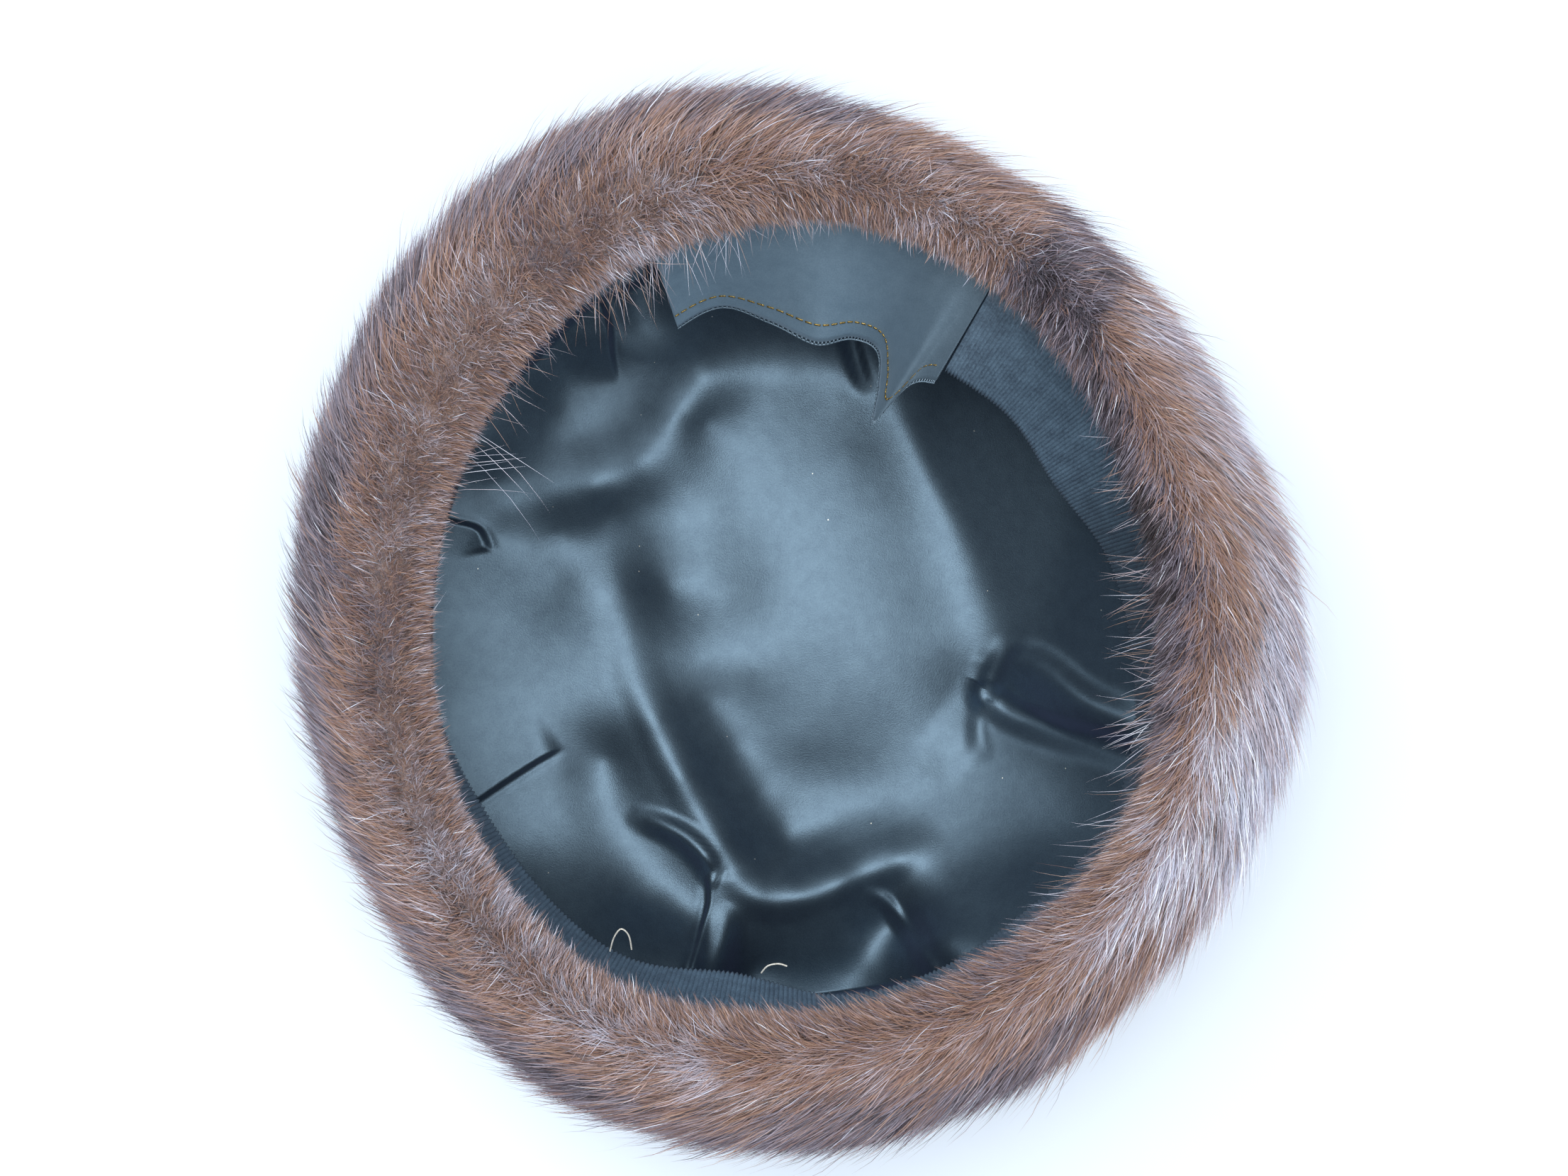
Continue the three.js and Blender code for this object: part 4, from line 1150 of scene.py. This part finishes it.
lining = make_lining()
ribbon = make_ribbon()
label = make_label()
make_picot()
make_border()
for number, points in enumerate(THREADS):
    make_thread(number + 1, points)

# Floor, light and camera

floor_material, floor_tree, floor_shader = new_material("pale floor", Roughness=0.9)
floor_shader.inputs["Base Color"].default_value = linear(220, 230, 242)
floor_shader.inputs["Emission Color"].default_value = (0.9, 0.96, 1, 1)
floor_shader.inputs["Emission Strength"].default_value = 0.08
bpy.ops.mesh.primitive_plane_add(size=6, location=(0, 0, 0))
floor = bpy.context.active_object
floor.name = "floor"
floor.data.materials.append(floor_material)


def softbox(name, place, aim, size, power, colour):
    lamp = bpy.data.lights.new(name, "AREA")
    lamp.shape = "DISK"
    lamp.size = size
    lamp.energy = power
    lamp.color = colour
    holder = bpy.data.objects.new(name, lamp)
    bpy.context.scene.collection.objects.link(holder)
    holder.location = place
    way = np.array(aim, float) - np.array(place, float)
    flat = math.hypot(way[0], way[1])
    holder.rotation_euler = (math.pi / 2 + math.atan2(way[2], flat), 0, math.atan2(way[1], way[0]) - math.pi / 2)
    return holder


softbox("ceiling", (-0.1, 0.1, 1.4), (0, 0, 0.05), 1.15, 20.5, (0.95, 0.98, 1.0))
softbox("window", (-0.9, 0.8, 0.9), (0, 0, 0.05), 0.9, 6, (0.9, 0.96, 1.0))
softbox("room", (0.8, -0.7, 0.9), (0, 0, 0.05), 1.0, 5, (0.96, 0.98, 1.0))

world = bpy.data.worlds.new("soft room")
world.use_nodes = True
world.node_tree.nodes["Background"].inputs["Color"].default_value = (0.93, 0.96, 1.0, 1)
world.node_tree.nodes["Background"].inputs["Strength"].default_value = 0.37
bpy.context.scene.world = world
bpy.context.scene.view_settings.view_transform = "Standard"

CAMERA_TILT = math.radians(3)
camera_data = bpy.data.cameras.new("camera")
camera_data.sensor_width = 36
camera_data.lens = 52.9
camera = bpy.data.objects.new("camera", camera_data)
camera.location = (-0.0041, -0.0215, 0.6343)
camera.rotation_euler = (CAMERA_TILT, 0, 0)
bpy.context.scene.collection.objects.link(camera)
bpy.context.scene.camera = camera
